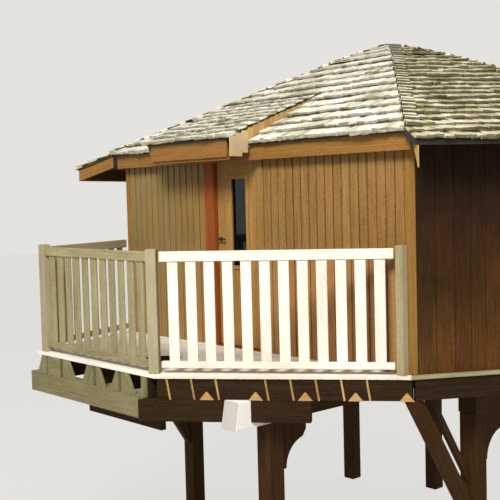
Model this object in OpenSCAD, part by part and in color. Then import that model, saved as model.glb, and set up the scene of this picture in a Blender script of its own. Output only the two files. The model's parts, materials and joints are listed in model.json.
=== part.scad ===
// Tree house: a six-sided timber cabin on tall legs, with a low shake roof,
// a porch deck with a balustrade, and a flatter canopy roof over the door.
// The origin is on the ground in the middle. The porch and its door face -Y.

/* [Cabin] */
// Length of the front wall and of the back wall, which are the two long ones
front_wall_len = 4200; // [3600:50:4600]
// Length of each of the four side walls
side_wall_len = 2700; // [2400:50:3000]
// Height of the walls above the floor
wall_h = 2158; // [2100:1:2160]
// Thickness of a wall, cladding included
wall_t = 100; // [80:5:140]

/* [Platform] */
// Height of the deck's upper side above the ground
deck_h = 2600; // [2200:50:3200]
// Thickness of the deck boards and of the cabin's floor
board_t = 30; // [25:1:40]
// Depth of the joists
joist_h = 190; // [150:5:220]
// Thickness of a joist
joist_t = 50; // [40:5:60]
// Depth of the bearers that lie on the legs
bearer_h = 250; // [200:10:300]
// Width of the bearers
bearer_w = 200; // [160:10:220]
// Side of a square leg
leg_w = 175; // [150:5:220]
// How far the platform reaches past the walls
ledge = 70; // [50:5:120]

/* [Porch] */
// Distance from the front wall to the deck's left edge
porch_depth = 1505; // [1300:5:1700]
// Length of the deck's left edge
porch_len = 2050; // [1800:10:2200]
// Where the deck's near corner is, measured from the cabin's middle
porch_corner_x = 370; // [300:10:450]
// Diameter of the opening that is left for a trunk
trunk_d = 520; // [400:10:600]

/* [Balustrade] */
// Height of the balustrade above the deck
rail_h = 1100; // [900:10:1200]
// Width of a baluster
baluster_w = 96; // [70:1:110]
// Thickness of a baluster
baluster_t = 20; // [16:1:30]

/* [Door] */
// Width of the door leaf
leaf_w = 654; // [600:2:760]
// Height of the door leaf
leaf_h = 1940; // [1850:5:1960]
// Thickness of the door leaf
leaf_t = 44; // [35:1:50]

/* [Roof] */
// Height of the roof's peak above the floor
peak_h = 3310; // [3000:10:3600]
// Height of the shakes' upper side at the eaves, above the floor
eave_h = 2140; // [2100:5:2200]
// How far the eaves reach past the walls
eave_out = 150; // [100:10:250]
// Vertical thickness of the roof's boards and shakes
roof_t = 40; // [35:5:60]
// How much further the eaves of the right walls and of the left back wall reach
eave_more = 240; // [0:10:300]
// Part of the way down a hip where the flatter crown ends
crown_k = 0.2; // [0.1:0.05:0.3]
// How far the crown's edge stands above a straight hip
crown_rise = 85; // [40:5:120]

/* [Canopies] */
// Distance from the front wall to the door canopy's eave
canopy_out = 415; // [350:5:600]
// Width of the door canopy
canopy_w = 1330; // [1200:10:1500]
// Where the door canopy's right edge is, measured from the cabin's middle
canopy_right = 200; // [150:10:300]
// Height of the door canopy's eave above the floor
canopy_h = 2205; // [2150:5:2260]
// Pitch of the door canopy, in degrees
canopy_pitch = 20; // [16:0.5:24]
// How far the left wall's canopy reaches past the eaves
side_canopy_out = 470; // [300:10:600]
// Pitch of the left wall's canopy, in degrees
side_canopy_pitch = 18; // [14:0.5:22]

/* [Hidden] */

// Colours of the timbers
larch = [0.69, 0.51, 0.32];
dark_larch = [0.36, 0.22, 0.13];
red_cedar = [0.56, 0.29, 0.15];
deck_wood = [0.80, 0.70, 0.52];
rail_wood = [0.78, 0.71, 0.55];
frame_wood = [0.45, 0.31, 0.19];
shake = [0.70, 0.66, 0.55];
far = 9000;

// Plan of the cabin: half the front wall, the apothem of the front, and the side corner
half_front = front_wall_len / 2;
apo_front = side_wall_len * sin(60);
side_x = half_front + side_wall_len * cos(60);
apo_side = side_x * cos(30);
// Apothems and turns of the six sides, from the front one round to the left
APO = [apo_front, apo_side, apo_side, apo_front, apo_side, apo_side];
TURN = [0, 60, 120, 180, 240, 300];

// Corner i of the plan moved out by e: corner 0 is the front right one
function corner(i, e) = [
    [half_front + e * tan(30), -(apo_front + e)],
    [side_x + e / cos(30), 0],
    [half_front + e * tan(30), apo_front + e],
    [-(half_front + e * tan(30)), apo_front + e],
    [-(side_x + e / cos(30)), 0],
    [-(half_front + e * tan(30)), -(apo_front + e)]][i % 6];
function hexagon(e) = [for (i = [0:5]) corner(i, e)];

// Ends of the left wall's canopy along that wall
side_canopy_x0 = -side_x * sin(30) - eave_out * tan(30);
side_canopy_x1 = side_canopy_x0 + side_wall_len + 2 * eave_out * tan(30);

// Levels
joist_top = deck_h - board_t;
bearer_top = joist_top - joist_h;
leg_top = bearer_top - bearer_h;

// Porch plan: the near corner, the far left corner and the two ends at the cabin
near_corner = [porch_corner_x, -(apo_front + porch_depth)];
far_corner = [porch_corner_x - porch_len, -(apo_front + porch_depth)];
right_end = corner(0, ledge) + [-70, -45];
left_end = corner(5, 0);
trunk_at = [-380, -(apo_front + 900)];

// Line of the front beam, and where it ends against the left one
front_dir = (right_end - near_corner) / norm(right_end - near_corner);
front_in = [-front_dir[1], front_dir[0]];
beam_w = 100;
beam_line = near_corner + front_in * 62;
left_beam_x1 = far_corner[0] - 150 + porch_len + 20;
front_beam_end = beam_line - front_dir * 150;

// The origin lies on the ground in the middle of the overall width and depth
box_left = side_canopy_x0 * cos(60) - (apo_side + eave_out + side_canopy_out) * sin(60);
box_right = side_x + (eave_out + eave_more) / cos(30);
box_front = front_beam_end[1] - front_in[1] * beam_w / 2;
box_back = apo_front + eave_out + eave_more * sin(30);

module placed() {
    translate([-(box_left + box_right) / 2, -(box_front + box_back) / 2, 0]) children();
}

module extruded(z, h) {
    translate([0, 0, z]) linear_extrude(h) children();
}

// A plank between two plan points: w wide, h deep, its underside at z
module plank(a, b, w, h, z) {
    d = b - a;
    translate([a[0], a[1], z]) rotate([0, 0, atan2(d[1], d[0])])
        translate([0, -w / 2, 0]) cube([norm(d), w, h]);
}

// Legs and bearers
inner_x = 940;
outer_x = half_front;
front_leg_y = -2960;
side_leg_y = 1470;
inner_back_y = 1900;
brace_run = 850;
brace_drop = 1290;
short_brace_run = 330;
short_brace_drop = 470;
brace_w = 100;
brace_d = 150;

module leg(x, y) {
    translate([x - leg_w / 2, y - leg_w / 2, 0]) cube([leg_w, leg_w, leg_top]);
}

module front_legs() placed() {
    color(frame_wood) {
        leg(inner_x, front_leg_y);
        leg(outer_x, -side_leg_y);
        leg(-outer_x, -side_leg_y);
    }
}

module back_legs() placed() {
    color(frame_wood) {
        leg(outer_x, side_leg_y);
        leg(-outer_x, side_leg_y);
        leg(inner_x, inner_back_y);
        leg(-inner_x, inner_back_y);
    }
}

module bearer(x, y0, y1) {
    translate([x - bearer_w / 2, y0, leg_top]) cube([bearer_w, y1 - y0, bearer_h]);
}

// A bearer whose front end leans out at the foot
module raked_bearer(x, y0, y1) {
    rake = 45;
    translate([x - bearer_w / 2, 0, leg_top]) rotate([90, 0, 90]) linear_extrude(bearer_w)
        polygon([[y0 - rake, 0], [y1, 0], [y1, bearer_h], [y0, bearer_h]]);
}

module inner_bearers() placed() {
    color(frame_wood) {
        raked_bearer(inner_x, -(apo_front + 1075), apo_front);
        bearer(-inner_x, -(apo_front + 1300), apo_front);
    }
}

module outer_bearers() placed() {
    color(frame_wood) {
        bearer(outer_x, -side_leg_y - leg_w / 2, side_leg_y + leg_w / 2);
        bearer(-outer_x, -side_leg_y - leg_w / 2, side_leg_y + leg_w / 2);
    }
}

// A knee brace beside the leg at (x, y), up to height z, rising along +Y where dir is 1
module knee_brace(x, y, z, dir, run, drop, w, d) {
    s = leg_w / 2;
    translate([x + w / 2, y, z]) mirror([0, dir < 0 ? 1 : 0, 0]) rotate([90, 0, -90])
        linear_extrude(w)
            polygon([[-s - run, 0], [-s - run + d, 0], [-s, -drop + d * drop / run], [-s, -drop]]);
}

// A brace beside the leg at (x, y) with an arched underside, up to the bearer
module arched_brace(x, y, dir, run, drop) {
    s = leg_w / 2;
    translate([x + brace_w / 2, y, leg_top]) mirror([0, dir < 0 ? 1 : 0, 0]) rotate([90, 0, -90])
        linear_extrude(brace_w) difference() {
            translate([-s - run, -drop]) square([run, drop]);
            translate([-s - run, -drop]) circle(r = run * 0.8, $fn = 48);
            polygon([[-s - run - 1, -drop - 1], [-s - run * 0.3, -drop - 1], [-s - run - 1, -drop * 0.3]]);
        }
}

module knee_braces() placed() {
    color(frame_wood) {
        arched_brace(inner_x, front_leg_y, 1, short_brace_run, short_brace_drop);
        for (sx = [-1, 1], sy = [-1, 1]) {
            knee_brace(sx * outer_x, sy * side_leg_y, bearer_top, sy, brace_run, brace_drop, brace_w, brace_d);
            knee_brace(sx * outer_x, sy * side_leg_y, bearer_top, sy, brace_run - 250,
                brace_drop * (1 - 250 / brace_run), brace_w / 2, brace_d / 2);
            arched_brace(sx * outer_x, sy * side_leg_y, -sy, short_brace_run, short_brace_drop);
        }
        for (sx = [-1, 1])
            arched_brace(sx * inner_x, inner_back_y, -1, short_brace_run, short_brace_drop);
    }
}

// Two planks under the bearers, one on each side of the trunk
module tree_yoke() placed() {
    color(frame_wood) {
        translate([-inner_x - bearer_w / 2, trunk_at[1] - trunk_d / 2 - 140, leg_top - 100]) cube([1230, 60, 100]);
        translate([-inner_x - bearer_w / 2, trunk_at[1] + trunk_d / 2 + 60, leg_top - 100])
            cube([2 * inner_x + (bearer_w - leg_w) / 2, 60, 100]);
    }
}

// Beams under the edges of the porch
module front_beam() placed() {
    color(frame_wood) difference() {
        plank(front_beam_end, beam_line + front_dir * 1410, beam_w, 200, bearer_top - 200);
        translate([inner_x - bearer_w / 2 - 1, -far / 2, 0]) cube([bearer_w + 2, far / 2, far]);
        translate([left_beam_x1 + 1 - far, -far, 0]) cube([far, far, far]);
    }
}

module left_beam() placed() {
    color(rail_wood)
        translate([far_corner[0] - 150, far_corner[1] - 5, bearer_top - 205])
            cube([left_beam_x1 - far_corner[0] + 150, 125, 205]);
}

// Joists of the porch run out from the front wall, and those of the cabin along it
PORCH_JOISTS = [-1498, -1206, -595, -164, 270, 700, 1130];

function front_edge_y(x) = near_corner[1]
    + (right_end[1] - near_corner[1]) * (x - near_corner[0]) / (right_end[0] - near_corner[0]);

module porch_joists() placed() {
    color(frame_wood) difference() {
        for (x = PORCH_JOISTS) {
            y0 = x < near_corner[0] ? near_corner[1] + 25 : front_edge_y(x + joist_t / 2) + 100;
            y1 = -(apo_front + 1);
            translate([x - joist_t / 2, y0, bearer_top]) cube([joist_t, y1 - y0, joist_h]);
        }
        translate([trunk_at[0], trunk_at[1], 0]) cylinder(d = trunk_d + 60, h = far, $fn = 48);
    }
}

module cabin_joists() placed() {
    color(frame_wood)
        for (i = [-4:4]) {
            y = i * 480;
            hw = side_x - abs(y) * (side_x - half_front) / apo_front - joist_t - 60;
            translate([-hw, y - joist_t / 2, bearer_top]) cube([2 * hw, joist_t, joist_h]);
        }
}

// Boards on edge round the platform, mitred a little short of each other
module rim_joists() placed() {
    color(frame_wood) {
        edge_board(corner(5, -joist_t / 2), corner(0, -joist_t / 2), 45);
        for (i = [1:5])
            edge_board(corner(i + 5, joist_t / 2), corner(i, joist_t / 2), 20);
        plank(near_corner + front_in * 45 + front_dir * 30, right_end + front_in * 45 + front_dir * 90,
            joist_t, joist_h, bearer_top);
        edge_board(far_corner + [45, 120], left_end + [30, -70], 10);
    }
}

module edge_board(a, b, short) {
    d = (b - a) / norm(b - a);
    plank(a + d * short, b - d * short, joist_t, joist_h, bearer_top);
}

// Blocks beside the joists' ends, each with one raking edge
block_t = 35;
block_y = far_corner[1] - 5;

module end_block(x, side, foot, head) {
    translate([x + side * joist_t / 2, block_y + block_t, bearer_top]) rotate([90, 0, 0])
        mirror([side < 0 ? 1 : 0, 0, 0]) linear_extrude(block_t)
            polygon([[0, 0], [foot, 0], [head, joist_h], [0, joist_h]]);
}

// What stands on the face of the front rim, s along it from the near corner
module on_front_rim(s) {
    p = near_corner + front_in * 19.5 + front_dir * s;
    translate([p[0], p[1], bearer_top]) rotate([0, 0, atan2(front_dir[1], front_dir[0])]) rotate([90, 0, 0])
        children();
}

// Pointed packing blocks that stand on the front beam
module packing_block(s) {
    on_front_rim(s) linear_extrude(18) polygon([[-66, 0], [66, 0], [7, 72], [-7, 72]]);
}

// Leaning slips between the front rim's blocks
module rim_slip(s) {
    lean = 30;
    w = 17;
    on_front_rim(s) linear_extrude(9) polygon([[lean, 0], [lean + w, 0], [w, joist_h], [0, joist_h]]);
}

module joist_end_blocks() placed() {
    color(rail_wood) {
        end_block(PORCH_JOISTS[0], -1, 165, 70);
        translate([PORCH_JOISTS[0] + joist_t / 2, block_y, bearer_top])
            cube([PORCH_JOISTS[1] - PORCH_JOISTS[0] - joist_t, block_t, joist_h]);
        end_block(PORCH_JOISTS[1], 1, 205, 95);
        end_block(PORCH_JOISTS[2], -1, 200, 105);
        end_block(PORCH_JOISTS[2], 1, 140, 40);
        end_block(PORCH_JOISTS[3], -1, 135, 35);
        end_block(PORCH_JOISTS[3], 1, 205, 95);
        translate([PORCH_JOISTS[4] - joist_t / 2 - 60, block_y, bearer_top]) cube([60, block_t, joist_h]);
    }
}

module rim_slips() placed() {
    color(rail_wood) {
        for (i = [0:4])
            packing_block(484 + i * 439);
        for (i = [0, 1, 2, 4, 5, 6, 7, 8])
            rim_slip(112 + i * 222);
    }
}

// Floors
module porch_deck() placed() {
    color(deck_wood) extruded(joist_top, board_t) difference() {
        polygon([corner(0, 0), corner(0, ledge), right_end, near_corner, far_corner, corner(5, ledge), corner(5, 0)]);
        translate(trunk_at) circle(d = trunk_d, $fn = 48);
    }
}

// Strips of floor that reach past the other five walls
module wall_ledges() placed() {
    color(deck_wood) extruded(joist_top, board_t)
        for (i = [1:5]) {
            a = corner(i + 5, 0.5);
            b = corner(i, 0.5);
            along = (b - a) / norm(b - a);
            polygon([a + along, b - along, corner(i, ledge) - along, corner(i + 5, ledge) + along]);
        }
}

module cabin_floor() placed() {
    color(deck_wood) extruded(joist_top, board_t) polygon(hexagon(0));
}

// Walls: side i of the plan between two shares of its length, from z0 to z1 above the floor
door_x1 = 154;
door_x0 = door_x1 - leaf_w;
door_gap = 8;
post_w = 150;
hinge_post_w = 100;
panel_z = 15 + leaf_h + door_gap;

module wall(i) {
    extruded(deck_h, wall_h) intersection() {
        difference() {
            polygon(hexagon(0));
            polygon(hexagon(-wall_t));
        }
        polygon([corner(i + 5, 50), corner(i, 50), corner(i, -500), corner(i + 5, -500)]);
    }
}

// The part of the front wall between x0 and x1
module front_wall_part(x0, x1, z0, z1) {
    intersection() {
        wall(0);
        translate([x0, -far / 2, deck_h + z0]) cube([x1 - x0, far / 2, z1 - z0]);
    }
}

module front_wall_right() placed() {
    color(larch) front_wall_part(door_x1 + door_gap + hinge_post_w, far / 2, 0, wall_h);
}

module front_wall_left() placed() {
    color(larch) front_wall_part(-far / 2, door_x0 - door_gap - post_w, 0, wall_h);
}

module over_door_panel() placed() {
    color(larch)
        front_wall_part(door_x0 - door_gap - post_w, door_x1 + door_gap + hinge_post_w, panel_z, wall_h);
}

module right_front_wall() placed() {
    color(dark_larch) wall(1);
}

module right_back_wall() placed() {
    color(dark_larch) wall(2);
}

module back_wall() placed() {
    color(dark_larch) wall(3);
}

module left_back_wall() placed() {
    color(dark_larch) wall(4);
}

module left_front_wall() placed() {
    color(dark_larch) wall(5);
}

module corner_boards() placed() {
    color(larch) extruded(deck_h, wall_h - 110) intersection() {
        difference() {
            polygon(hexagon(22));
            polygon(hexagon(0));
        }
        for (i = [0:5])
            translate(corner(i, 0)) rotate(TURN[i] + 30) square([90, 90], center = true);
    }
}

// Door frame and door
leaf_y = -apo_front + 30;
leaf_z = deck_h + 15;

module door_post(x0, w) {
    translate([x0, -apo_front - 20, deck_h]) cube([w, wall_t + 20, panel_z]);
}

module left_door_post() placed() {
    color(red_cedar) door_post(door_x0 - door_gap - post_w, post_w);
}

module right_door_post() placed() {
    color(larch) door_post(door_x1 + door_gap, hinge_post_w);
}

module door_sill() placed() {
    color(red_cedar)
        translate([door_x0 - door_gap, -apo_front - 30, deck_h]) cube([leaf_w + 2 * door_gap, wall_t + 30, 8]);
}

glass_x0 = -271;
glass_x1 = -36;
glass_z0 = 850;
glass_z1 = 1765;

module door_leaf() placed() {
    color(larch) difference() {
        translate([door_x0, leaf_y, leaf_z]) cube([leaf_w, leaf_t, leaf_h]);
        translate([glass_x0, leaf_y - 1, deck_h + glass_z0])
            cube([glass_x1 - glass_x0, leaf_t + 2, glass_z1 - glass_z0]);
    }
}

module door_glass() placed() {
    color([0.35, 0.42, 0.40, 0.5])
        translate([glass_x0, leaf_y + leaf_t / 2 - 4, deck_h + glass_z0])
            cube([glass_x1 - glass_x0, 8, glass_z1 - glass_z0]);
}

// A lever on each side of the leaf, on one spindle
handle_x = door_x0 + 50;
handle_z = deck_h + 1130;

module door_handle() placed() {
    color([0.16, 0.13, 0.12]) for (s = [0, 1])
        translate([handle_x, leaf_y + (s == 0 ? 0 : leaf_t), handle_z]) mirror([0, s, 0]) {
            rotate([90, 0, 0]) cylinder(r = 22, h = 6, $fn = 32);
            rotate([90, 0, 0]) cylinder(r = 8, h = 45, $fn = 24);
            translate([-8, -49, -8]) cube([110, 14, 16]);
        }
}

// Surface hinges inside: pins in the frame's knuckles carry the leaf's knuckles
hinge_x = door_x1 + 1;
hinge_y = leaf_y + leaf_t + 8;
HINGE_Z = [deck_h + 220, deck_h + 1000, deck_h + 1720];
knuckle_r = 6;
pin_r = 3;
knuckle_h = 30;
plate_t = 3;

module knuckle(z) {
    translate([hinge_x, hinge_y, z]) cylinder(r = knuckle_r, h = knuckle_h, $fn = 32);
}

module frame_hinges() placed() {
    color([0.16, 0.13, 0.12])
        for (z = HINGE_Z) {
            knuckle(z);
            knuckle(z + 2 * knuckle_h + 2);
            translate([hinge_x, hinge_y, z]) cylinder(r = pin_r, h = 3 * knuckle_h, $fn = 32);
            for (dz = [0, 2 * knuckle_h + 2])
                translate([door_x1 + door_gap - plate_t, hinge_y, z + dz]) cube([plate_t, 16, knuckle_h]);
        }
}

module door_hinges() placed() {
    color([0.16, 0.13, 0.12])
        for (z = HINGE_Z) {
            difference() {
                union() {
                    knuckle(z + knuckle_h + 1);
                    translate([hinge_x - 45, leaf_y + leaf_t, z + knuckle_h + 1]) cube([45, plate_t, knuckle_h]);
                }
                translate([hinge_x, hinge_y, z]) cylinder(r = pin_r + 0.1, h = 4 * knuckle_h, $fn = 32);
            }
        }
}

// Roof: side i is a flatter crown over a steeper skirt
eave_z = deck_h + eave_h;
peak_z = deck_h + peak_h;
crown_z = peak_z - (peak_z - eave_z) * crown_k + crown_rise;
DIST = [for (a = APO) a + eave_out];

// A tilted slab of the roof that rises inwards, from height z at distance d on side i
module slope(i, d, z, pitch, t, up = 0) {
    rotate([0, 0, TURN[i]]) translate([0, -d, z + up]) rotate([pitch, 0, 0])
        translate([-far / 2, -far / 4, -t * cos(pitch)]) cube([far, far, t * cos(pitch)]);
}

// Side i of the roof over the plan shape given, t thick and raised by up
module roof_layer(i, t, up) {
    reach = 100;
    ring = DIST[i] * crown_k;
    low = (crown_z - eave_z) / (DIST[i] - ring);
    top = (peak_z - crown_z) / ring;
    upper = [[-DIST[i] - reach, eave_z - low * reach], [-ring, crown_z], [reach, peak_z + top * reach]];
    intersection() {
        extruded(0, far) children();
        rotate([0, 0, TURN[i]]) rotate([90, 0, 90]) translate([0, up, -far / 2]) linear_extrude(far)
            polygon([upper[0], upper[1], upper[2], upper[2] - [0, t], upper[1] - [0, t], upper[0] - [0, t]]);
    }
}

module side_plan(i) {
    polygon([corner(i + 5, eave_out), corner(i, eave_out), [0, 0]]);
}

module roof_side(i) {
    color(shake) roof_layer(i, roof_t, 0) side_plan(i);
}

module roof_front() placed() {
    roof_side(0);
}

module roof_right_front() placed() {
    roof_side(1);
}

module roof_right_back() placed() {
    roof_side(2);
}

module roof_back() placed() {
    roof_side(3);
}

module roof_left_back() placed() {
    roof_side(4);
}

module roof_left_front() placed() {
    roof_side(5);
}

// Caps along the hips, as a strip on the right of each hip, from the eaves to the peak
cap_w = 240;
cap_t = 22;

module hip_strip(i) {
    e = corner(i, eave_out);
    rotate(atan2(e[1], e[0])) translate([0, -cap_w / 2]) square([norm(e) - 10, cap_w]);
}

module hip_caps() placed() {
    color(shake) difference() {
        for (i = [0:5])
            roof_layer(i, cap_t, cap_t) intersection() {
                translate([sin(TURN[i]), -cos(TURN[i])]) side_plan(i);
                hip_strip(i + 5);
            }
        translate([canopy_left - 3, -far, 0]) cube([canopy_w + 6, far - canopy_head, far]);
    }
}

verge_t = 25;
fascia_h = 165;
fascia_t = 25;
fascia_z = deck_h + 1932;
fascia_out = eave_out - 45;

module eave_fascias() placed() {
    color(larch) {
        plank(corner(5, fascia_out) + [22, 0], corner(0, fascia_out) + [45, 0], fascia_t, fascia_h, fascia_z);
        for (i = [3, 5]) {
            a = corner(i + 5, fascia_out);
            b = corner(i, fascia_out);
            d = (b - a) / norm(b - a);
            plank(a + d * 22, b - d * 22, fascia_t, fascia_h, fascia_z);
        }
    }
}

// The longer eaves: a strip past side i's eave, mitred at the side corner of the plan
short_x = side_canopy_x1;
long_x = -side_canopy_x0;
low_pitch = atan2(crown_z - eave_z, DIST[1] * (1 - crown_k));

module longer_eave(i, hand) {
    reach = DIST[1] + eave_more;
    intersection() {
        rotate([0, 0, TURN[i]]) extruded(0, far) mirror([hand < 0 ? 1 : 0, 0])
            polygon([[-short_x, -DIST[1] - 0.5], [long_x - 1, -DIST[1] - 0.5],
                [long_x - 1 + (i == 4 ? 0 : eave_more * tan(30)), -reach], [-short_x, -reach]]);
        slope(i, DIST[i], eave_z, low_pitch, roof_t, 0);
    }
}

module longer_eaves() placed() {
    color(shake) {
        longer_eave(1, 1);
        longer_eave(2, -1);
        longer_eave(4, 1);
    }
}

// Boards at the free ends of the longer eaves, deeper at the outer end
module eave_end(i, x) {
    d = DIST[1];
    fall = eave_more * tan(low_pitch);
    under = eave_z - roof_t - 1;
    rotate([0, 0, TURN[i]]) translate([x, 0, 0]) rotate([90, 0, 90]) linear_extrude(verge_t)
        polygon([[-d - 1, under], [-d - 1, under - 120], [-d - eave_more + 12, under - fall - 165],
            [-d - eave_more + 12, under - fall]]);
}

module eave_ends() placed() {
    color(larch) {
        eave_end(1, -short_x + 5);
        eave_end(2, short_x - 5 - verge_t);
        eave_end(4, -short_x + 5);
        eave_end(4, long_x - 1 - 5 - verge_t);
    }
}

// The door canopy, which lifts the front side's shakes over the door
canopy_y = -(apo_front + canopy_out);
canopy_z = deck_h + canopy_h;
canopy_left = canopy_right - canopy_w;
// Where its upper end dies into the front side, measured level from the peak
canopy_head = 1395;
verge_h = 200;

// All that is below the front side's upper surface, inside the eaves
module below_front_roof(up) {
    front_pitch = atan2(crown_z - eave_z, DIST[0] * (1 - crown_k));
    intersection() {
        slope(0, DIST[0], eave_z, front_pitch, far / 2, up);
        translate([-far / 2, -DIST[0] - 5, 0]) cube([far, far, far]);
    }
}

// A strip of the canopy from x0 to x1, from drop to drop + t below its upper surface
module canopy_strip(x0, x1, drop, t, y0) {
    difference() {
        intersection() {
            translate([x0, canopy_y + y0, 0]) cube([x1 - x0, 1500, far]);
            slope(0, -canopy_y, canopy_z, canopy_pitch, t, -drop);
        }
        below_front_roof(1);
    }
}

module canopy_roof() placed() {
    color(shake) canopy_strip(canopy_left, canopy_right, 0, roof_t, 0);
}

module canopy_verges() placed() {
    color(larch) {
        canopy_strip(canopy_right - 15 - verge_t, canopy_right - 15, roof_t, verge_h, 12);
        canopy_strip(canopy_left + 15, canopy_left + 15 + verge_t, roof_t, verge_h, 12);
    }
}

module canopy_fascia() placed() {
    x0 = canopy_left + 41;
    w = canopy_w - 82;
    color(larch) {
        translate([x0, canopy_y + 25, deck_h + 1965]) cube([w, fascia_t, 200]);
        translate([x0, canopy_y + 25 + fascia_t, deck_h + 1936]) cube([w, fascia_t, 110]);
    }
}

// The left wall's canopy, which carries its eave further out
module side_canopy_piece(x0, x1, d0, d1, drop, t) {
    intersection() {
        rotate([0, 0, TURN[5]]) translate([x0, -DIST[5] - d1, 0]) cube([x1 - x0, d1 - d0, far]);
        slope(5, DIST[5], eave_z, side_canopy_pitch, t, -drop);
    }
}

module side_canopy() placed() {
    color(shake) side_canopy_piece(side_canopy_x0, side_canopy_x1, 0.5, side_canopy_out, 0, roof_t);
}

module side_canopy_boards() placed() {
    color(larch) {
        side_canopy_piece(side_canopy_x1 - 15 - verge_t, side_canopy_x1 - 15, 0.5, side_canopy_out - 12, roof_t, 150);
        side_canopy_piece(side_canopy_x0 + 15, side_canopy_x0 + 15 + verge_t, 0.5, side_canopy_out - 12, roof_t, 150);
        side_canopy_piece(side_canopy_x0 + 41, side_canopy_x1 - 41, side_canopy_out - 12 - fascia_t,
            side_canopy_out - 12, roof_t, 150);
    }
}

// Balustrade
post_clear = 85;
near_post_at = near_corner + [-83, post_clear];
far_post_at = far_corner + [60, post_clear];
right_post_at = [2040, -(apo_front + 60)];

module rail_post(at, w, turn) {
    translate([at[0], at[1], deck_h]) rotate([0, 0, turn])
        translate([-w / 2, -w / 2, 0]) cube([w, w, rail_h + 25]);
}

module near_left_post() placed() {
    color(rail_wood) rail_post(near_post_at, 95, 40);
}

module far_left_post() placed() {
    color(rail_wood) rail_post(far_post_at, 90, 0);
}

module right_post() placed() {
    color(rail_wood) rail_post(right_post_at, 75, 0);
}

// A railing between two plan points, clear of what is at its ends, with n balusters
module railing(a, b, clear_a, clear_b, n) {
    d = (b - a) / norm(b - a);
    p = a + d * clear_a;
    len = norm(b - a) - clear_a - clear_b;
    gap = (len - n * baluster_w) / (n + 1);
    translate([p[0], p[1], deck_h]) rotate([0, 0, atan2(d[1], d[0])]) {
        translate([0, -22, rail_h - 90]) cube([len, 44, 90]);
        translate([0, -22, 50]) cube([len, 44, 60]);
        for (i = [0:n - 1])
            translate([gap + i * (baluster_w + gap), -baluster_t / 2, 105])
                cube([baluster_w, baluster_t, rail_h - 190]);
    }
}

module front_railing() placed() {
    color(rail_wood) railing(near_post_at, right_post_at, 72, 64, 12);
}

module left_railing() placed() {
    color(rail_wood) railing(far_post_at, near_post_at, 46, 72, 11);
}

module back_left_railing() placed() {
    color(rail_wood) railing(far_post_at, left_end + [-10, -20], 62, 62, 8);
}

front_legs();
back_legs();
inner_bearers();
outer_bearers();
knee_braces();
tree_yoke();
front_beam();
left_beam();
porch_joists();
cabin_joists();
rim_joists();
joist_end_blocks();
rim_slips();
porch_deck();
wall_ledges();
cabin_floor();
front_wall_right();
front_wall_left();
over_door_panel();
right_front_wall();
right_back_wall();
back_wall();
left_back_wall();
left_front_wall();
corner_boards();
left_door_post();
right_door_post();
door_sill();
frame_hinges();
door_leaf();
door_glass();
door_handle();
door_hinges();
roof_front();
roof_right_front();
roof_right_back();
roof_back();
roof_left_back();
roof_left_front();
hip_caps();
longer_eaves();
eave_ends();
eave_fascias();
canopy_roof();
canopy_verges();
canopy_fascia();
side_canopy();
side_canopy_boards();
near_left_post();
far_left_post();
right_post();
front_railing();
left_railing();
back_left_railing();
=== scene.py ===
"""Looks of the tree house: timbers, boards, shakes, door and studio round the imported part.

Places are worked out from the cabin's middle, in metres, and moved by SHIFT into the part's frame.
"""
from __future__ import annotations

import json
import logging
import math
import random
from dataclasses import dataclass, field, replace
from enum import Enum
from functools import cache
from typing import Any, Callable, Iterable, Sequence

import bpy
import numpy as np
from mathutils import Matrix, Vector

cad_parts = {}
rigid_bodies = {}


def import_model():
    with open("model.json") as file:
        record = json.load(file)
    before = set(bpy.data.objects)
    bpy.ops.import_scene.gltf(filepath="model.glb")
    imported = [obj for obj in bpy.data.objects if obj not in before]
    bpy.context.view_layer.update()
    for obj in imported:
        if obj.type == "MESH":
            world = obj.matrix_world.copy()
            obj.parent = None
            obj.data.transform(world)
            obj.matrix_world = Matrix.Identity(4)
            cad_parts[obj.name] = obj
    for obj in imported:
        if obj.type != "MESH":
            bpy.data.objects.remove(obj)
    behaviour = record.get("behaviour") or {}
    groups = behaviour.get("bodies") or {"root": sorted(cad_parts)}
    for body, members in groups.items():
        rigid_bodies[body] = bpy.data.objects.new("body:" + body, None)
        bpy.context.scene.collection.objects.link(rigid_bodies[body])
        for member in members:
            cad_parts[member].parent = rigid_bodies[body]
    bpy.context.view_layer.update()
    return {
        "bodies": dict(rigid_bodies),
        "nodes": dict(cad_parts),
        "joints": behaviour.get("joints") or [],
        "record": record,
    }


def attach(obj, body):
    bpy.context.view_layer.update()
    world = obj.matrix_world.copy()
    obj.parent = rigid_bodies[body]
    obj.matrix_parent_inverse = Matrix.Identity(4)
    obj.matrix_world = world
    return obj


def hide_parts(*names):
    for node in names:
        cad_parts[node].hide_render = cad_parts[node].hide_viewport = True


LOG = logging.getLogger("tree_house")

Node = bpy.types.Node
Socket = bpy.types.NodeSocket
Material = bpy.types.Material
Object = bpy.types.Object
Nodes = dict[str, bpy.types.Object]
Shape = Callable[[np.ndarray], np.ndarray]
Ends = Callable[[float], tuple[float, float]]

SHIFT = Vector((0.064952, 0.660322, 0.0))
# The floor's height, and the plan: the front wall's distance and half its length, the side corners
DECK = 2.6
FRONT = 2.338269
HALF_FRONT = 2.1
SIDE_X = 3.45
SIDE_LENGTH = 2.7
SIDE_APOTHEM = SIDE_X * math.cos(math.radians(30))
TURNS = (0, 60, 120, 180, 240, 300)
APOTHEMS = (FRONT, SIDE_APOTHEM, SIDE_APOTHEM, FRONT, SIDE_APOTHEM, SIDE_APOTHEM)

# Put a copy on end, its length downwards: its width along X, or its thickness along X
FACE_ON = Matrix(((0, 1, 0), (0, 0, -1), (-1, 0, 0))).to_4x4()
EDGE_ON = Matrix(((0, 0, 1), (0, 1, 0), (-1, 0, 0))).to_4x4()


class Body(Enum):
    """The two bodies that pieces ride on."""

    HOUSE = "house"
    DOOR = "door"


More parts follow.
